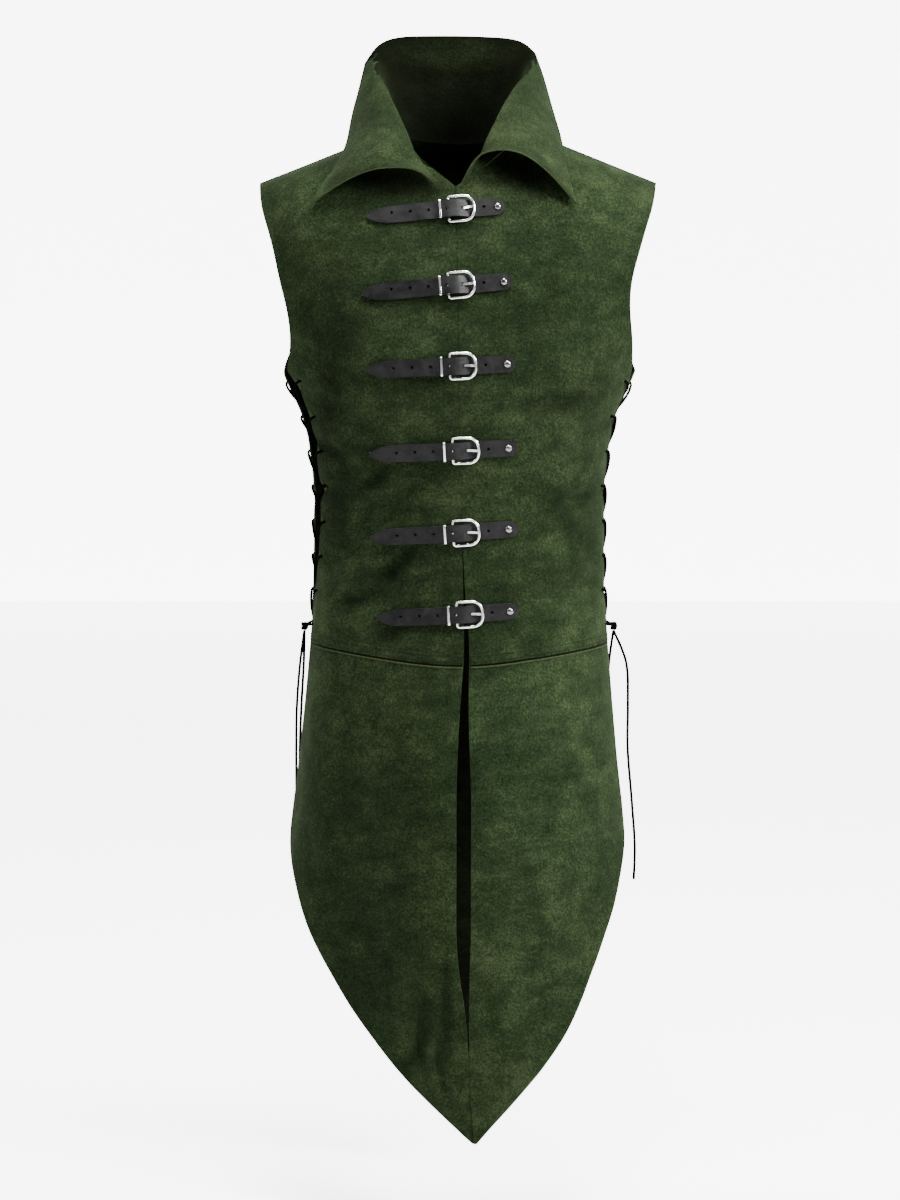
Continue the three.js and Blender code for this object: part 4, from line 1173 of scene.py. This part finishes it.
@dataclass
class BuckleWire:
    """D-shaped buckle frame bent from round wire, in millimetres."""

    number: int
    length: float = 29.0
    half_height: float = 14.25
    corner: float = 2.6
    arc: float = 12.5
    fullness: float = 2.35
    wire: float = 1.6
    tongue_tip: float = 29.6
    bar_radius: float = 2.0
    roundness: int = 4
    corner_steps: int = 7
    arc_steps: int = 18

    def __post_init__(self) -> None:
        """Finds the bar and the buckle's directions from the solid frame."""
        solid = next(o for o in bpy.data.objects if o.name == f"frame_{self.number}")
        spots = [vertex.co.copy() for vertex in solid.data.vertices]
        middle = sum(spots, Vector()) / len(spots)
        rivet = sum((Vector(corner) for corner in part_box(f"rivet_{self.number}")), Vector()) / 2
        off = self._normal(spots, middle)
        run = rivet - middle
        self.run = (run - off * run.dot(off)).normalized()
        self.up = self.run.cross(off)
        bar = min((spot - middle).dot(self.run) for spot in spots) + self.bar_radius * MM
        self.bar = middle + self.run * bar

    def shorten(self, tongue: bpy.types.Object) -> None:
        """Ends the tongue on top of the wire.

        Args:
            tongue: The tongue.
        """
        for vertex in tongue.data.vertices:
            past = (vertex.co - self.bar).dot(self.run) - self.tongue_tip * MM
            if past > 0:
                vertex.co -= self.run * past

    def build(self) -> bpy.types.Object:
        """Bends the wire on the place of the solid frame.

        Returns:
            The wire as a mesh.
        """
        spots = [self.bar + self.run * (along * MM) + self.up * (across * MM)
                 for along, across in self._outline()]
        wire = round_tube(f"frame_{self.number}_metal", spots, self.wire * MM, self.roundness, closed=True)
        only(wire)
        bpy.ops.object.convert(target="MESH")
        bpy.ops.object.shade_smooth()
        return bpy.context.object

    @staticmethod
    def _normal(spots: list[Vector], middle: Vector) -> Vector:
        """Direction off the plane of a flat ring of points.

        Args:
            spots: The points.
            middle: Their middle.

        Returns:
            The direction, towards the front.
        """
        total = Vector()
        for first, second in zip(spots, spots[7:]):
            turn = (first - middle).cross(second - middle)
            total += turn if turn.y < 0 else -turn
        return total.normalized()

    def _outline(self) -> list[tuple[float, float]]:
        """Points of the D, from the bar round the full arc and back.

        Returns:
            Distance from the bar and height of each point.
        """
        high, bend = self.half_height, self.corner
        reach = self.length - self.arc
        half = []
        for k in range(self.corner_steps + 1):
            turn = math.radians(180 + 90 * k / self.corner_steps)
            half.append((bend + bend * math.cos(turn), bend - high + bend * math.sin(turn)))
        for k in range(self.arc_steps + 1):
            turn = math.radians(90 * k / self.arc_steps)
            out = math.sin(turn) ** (2 / self.fullness)
            side = math.cos(turn) ** (2 / self.fullness)
            half.append((reach + self.arc * out, -high * side))
        return half + [(along, -across) for along, across in reversed(half[:-1])]


@dataclass
class Lacing:
    """Laces, knots and hanging ends of one side, in millimetres."""

    side: str
    finishes: Finishes
    radius: float = 1.6
    apart: float = 1.9
    roundness: int = 3
    swell: float = 0.55
    below: float = 0.3
    end_points: int = 30
    knot_points: int = 60
    knot_size: Triple = (2.6, 1.15, 3.4)
    knot_squeeze: float = 0.8

    def build(self) -> None:
        """Builds the lace, its knot and its two hanging ends."""
        node = f"lacing_{self.side}"
        lace = finer_copy(node, f"{node}_cord", 2, sharp=200.0, grow=self.swell * MM)
        dress(lace, Slot.CORD, self.finishes.cord)
        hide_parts(node)
        knot_low, knot_high = (Vector(corner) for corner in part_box(f"knot_{self.side}"))
        middle = (knot_low + knot_high) / 2
        self._knot(middle)
        for which in ("outer", "inner"):
            self._end(which, middle, knot_low.z)

    def _knot(self, middle: Vector) -> None:
        """Ties the knot: one cord wound over and under itself.

        Args:
            middle: The knot's middle.
        """
        swing, sway, rise = self.knot_size
        points = []
        for step in range(self.knot_points):
            turn = math.tau * step / self.knot_points
            out = self.knot_squeeze * (swing + sway * math.cos(3 * turn))
            points.append(middle + Vector((
                out * math.cos(2 * turn), out * math.sin(2 * turn), rise * math.sin(3 * turn))) * MM)
        knot = self._tube(f"knot_{self.side}_cord", points, closed=True)
        only(knot)
        bpy.ops.object.convert(target="MESH")
        knot = bpy.context.object
        dress(knot, Slot.CORD, self.finishes.cord)
        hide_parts(f"knot_{self.side}")

    def _end(self, which: str, middle: Vector, low: float) -> None:
        """Hangs one free end below the knot.

        Args:
            which: The outer or the inner end.
            middle: The knot's middle.
            low: Height of the knot's lowest point.
        """
        node = f"lace_end_{self.side}_{which}"
        route = [Vector(point) * MM for point in LACE_ENDS[f"{self.side}_{which}"]]
        lean = -self.apart if which == "outer" else self.apart
        start = Vector((middle.x, middle.y + lean * MM, low - self.below * MM))
        points = smooth_route([start, *route], self.end_points)
        cord = self._tube(f"{node}_cord", points, closed=False)
        dress(cord, Slot.CORD, self.finishes.cord)
        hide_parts(node)
        length = sum((b - a).length for a, b in zip(points, points[1:]))

    def _tube(self, name: str, points: list[Vector], closed: bool) -> bpy.types.Object:
        """Makes one round lace through points."""
        return round_tube(name, points, self.radius * MM, self.roundness, closed)


def smooth_route(points: list[Vector], count: int) -> list[Vector]:
    """Even points on a smooth curve through a few.

    Args:
        points: The points that the curve passes.
        count: How many points come back.

    Returns:
        Points in order along the curve.
    """
    fine = []
    for k in range(len(points) - 1):
        before = points[max(k - 1, 0)]
        here, after = points[k], points[k + 1]
        beyond = points[min(k + 2, len(points) - 1)]
        for step in range(FINE_STEPS):
            t = step / FINE_STEPS
            fine.append(0.5 * (2 * here + (after - before) * t
                               + (2 * before - 5 * here + 4 * after - beyond) * t * t
                               + (3 * here - before - 3 * after + beyond) * t * t * t))
    fine.append(points[-1])
    picks = [round(k * (len(fine) - 1) / (count - 1)) for k in range(count)]
    return [fine[k] for k in picks]


@dataclass
class Studio:
    """Floor, white wall, soft lights and camera."""

    target: Triple = (-0.0105, 0.0, -0.526)
    distance: float = 3.4
    elevation: float = 4.5
    focal: float = 87.2
    sensor: float = 36.0
    floor: float = -1.24
    board: float = 34.0
    room: float = 0.4
    wall_glow: float = 5.5
    floor_glow: float = 3.85

    def build(self) -> None:
        """Builds the floor, the wall, the lights, the sky and the camera."""
        floor = self._board("floor", (0.0, 0.0, self.floor), (0.0, 0.0, 0.0))
        floor.data.materials.append(self._pale_floor())
        wall = self._board("wall", (0.0, 9.0, 6.0), (math.radians(90), 0.0, 0.0))
        wall.data.materials.append(self._white_wall())
        world = bpy.data.worlds.new("pale_room")
        bpy.context.scene.world = world
        world.use_nodes = True
        world.node_tree.nodes["Background"].inputs[0].default_value = (1.0, 1.0, 1.0, 1.0)
        world.node_tree.nodes["Background"].inputs[1].default_value = self.room
        self._light("key", (2.6, -1.7, 1.2), 1.1, 480)
        self._light("top", (0.2, -0.9, 2.1), 0.9, 290)
        self._light("fill", (-2.3, -1.5, 1.5), 0.9, 40)
        self._camera()

    def _board(self, name: str, place: Triple, turn: Triple) -> bpy.types.Object:
        """Adds a flat square to the stage.

        Args:
            name: Its name.
            place: Its middle.
            turn: Its rotation.

        Returns:
            The board.
        """
        bpy.ops.object.select_all(action="DESELECT")
        bpy.ops.mesh.primitive_plane_add(size=self.board, location=place, rotation=turn)
        board = bpy.context.object
        board.name = name
        return board

    def _pale_floor(self) -> bpy.types.Material:
        """Makes a pale floor that shines white behind the jerkin and stays dull before it.

        Returns:
            The material.
        """
        shader = Shader("pale_floor")
        depth = shader.node("ShaderNodeSeparateXYZ", inputs={0: shader.place()}, output="Y")
        glow = shader.ramp(depth * 0.5 + 0.4, [(0.0, (0.10, 0.10, 0.10)), (0.45, (1.0, 1.0, 1.0))])
        shader.set(Base_Color=(0.7, 0.7, 0.7, 1.0), Roughness=0.9, Specular_IOR_Level=0.0)
        shader.set(Emission_Color=glow, Emission_Strength=self.floor_glow)
        return shader.material

    def _white_wall(self) -> bpy.types.Material:
        """Makes a dull white wall that shines by itself.

        Returns:
            The material.
        """
        shader = Shader("white_wall")
        shader.set(Base_Color=(0.8, 0.8, 0.8, 1.0), Roughness=0.9, Specular_IOR_Level=0.0)
        shader.set(Emission_Color=(1.0, 1.0, 1.0, 1.0), Emission_Strength=self.wall_glow)
        return shader.material

    def _light(self, name: str, place: Triple, size: float, power: float) -> None:
        """Adds one soft light that faces the jerkin.

        Args:
            name: Its name.
            place: Its place.
            size: Side of its square in metres.
            power: Its power in watts.
        """
        lamp = bpy.data.lights.new(name, "AREA")
        lamp.size = size
        lamp.energy = power
        light = add_piece(name, lamp)
        light.location = place
        way = Vector(self.target) - Vector(place)
        light.rotation_euler = way.to_track_quat("-Z", "Y").to_euler()

    def _camera(self) -> None:
        """Places the camera straight ahead, a little above the middle."""
        turn = math.radians(self.elevation)
        lens = bpy.data.cameras.new("camera")
        lens.lens = self.focal
        lens.sensor_width = self.sensor
        camera = add_piece("camera", lens)
        target = Vector(self.target)
        camera.location = target + Vector((0.0, -math.cos(turn), math.sin(turn))) * self.distance
        camera.rotation_euler = (target - camera.location).to_track_quat("-Z", "Y").to_euler()
        bpy.context.scene.camera = camera


def main() -> None:
    """Loads the solids, dresses them and sets the studio."""
    logging.basicConfig(level=logging.INFO)
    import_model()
    Studio().build()
    finishes = Finishes()
    for side in SIDES:
        Lacing(side, finishes).build()
    Cloth(finishes).build()
    for number in range(1, STRAP_COUNT + 1):
        Strap(number, finishes).build()


if __name__ == "__main__":
    main()
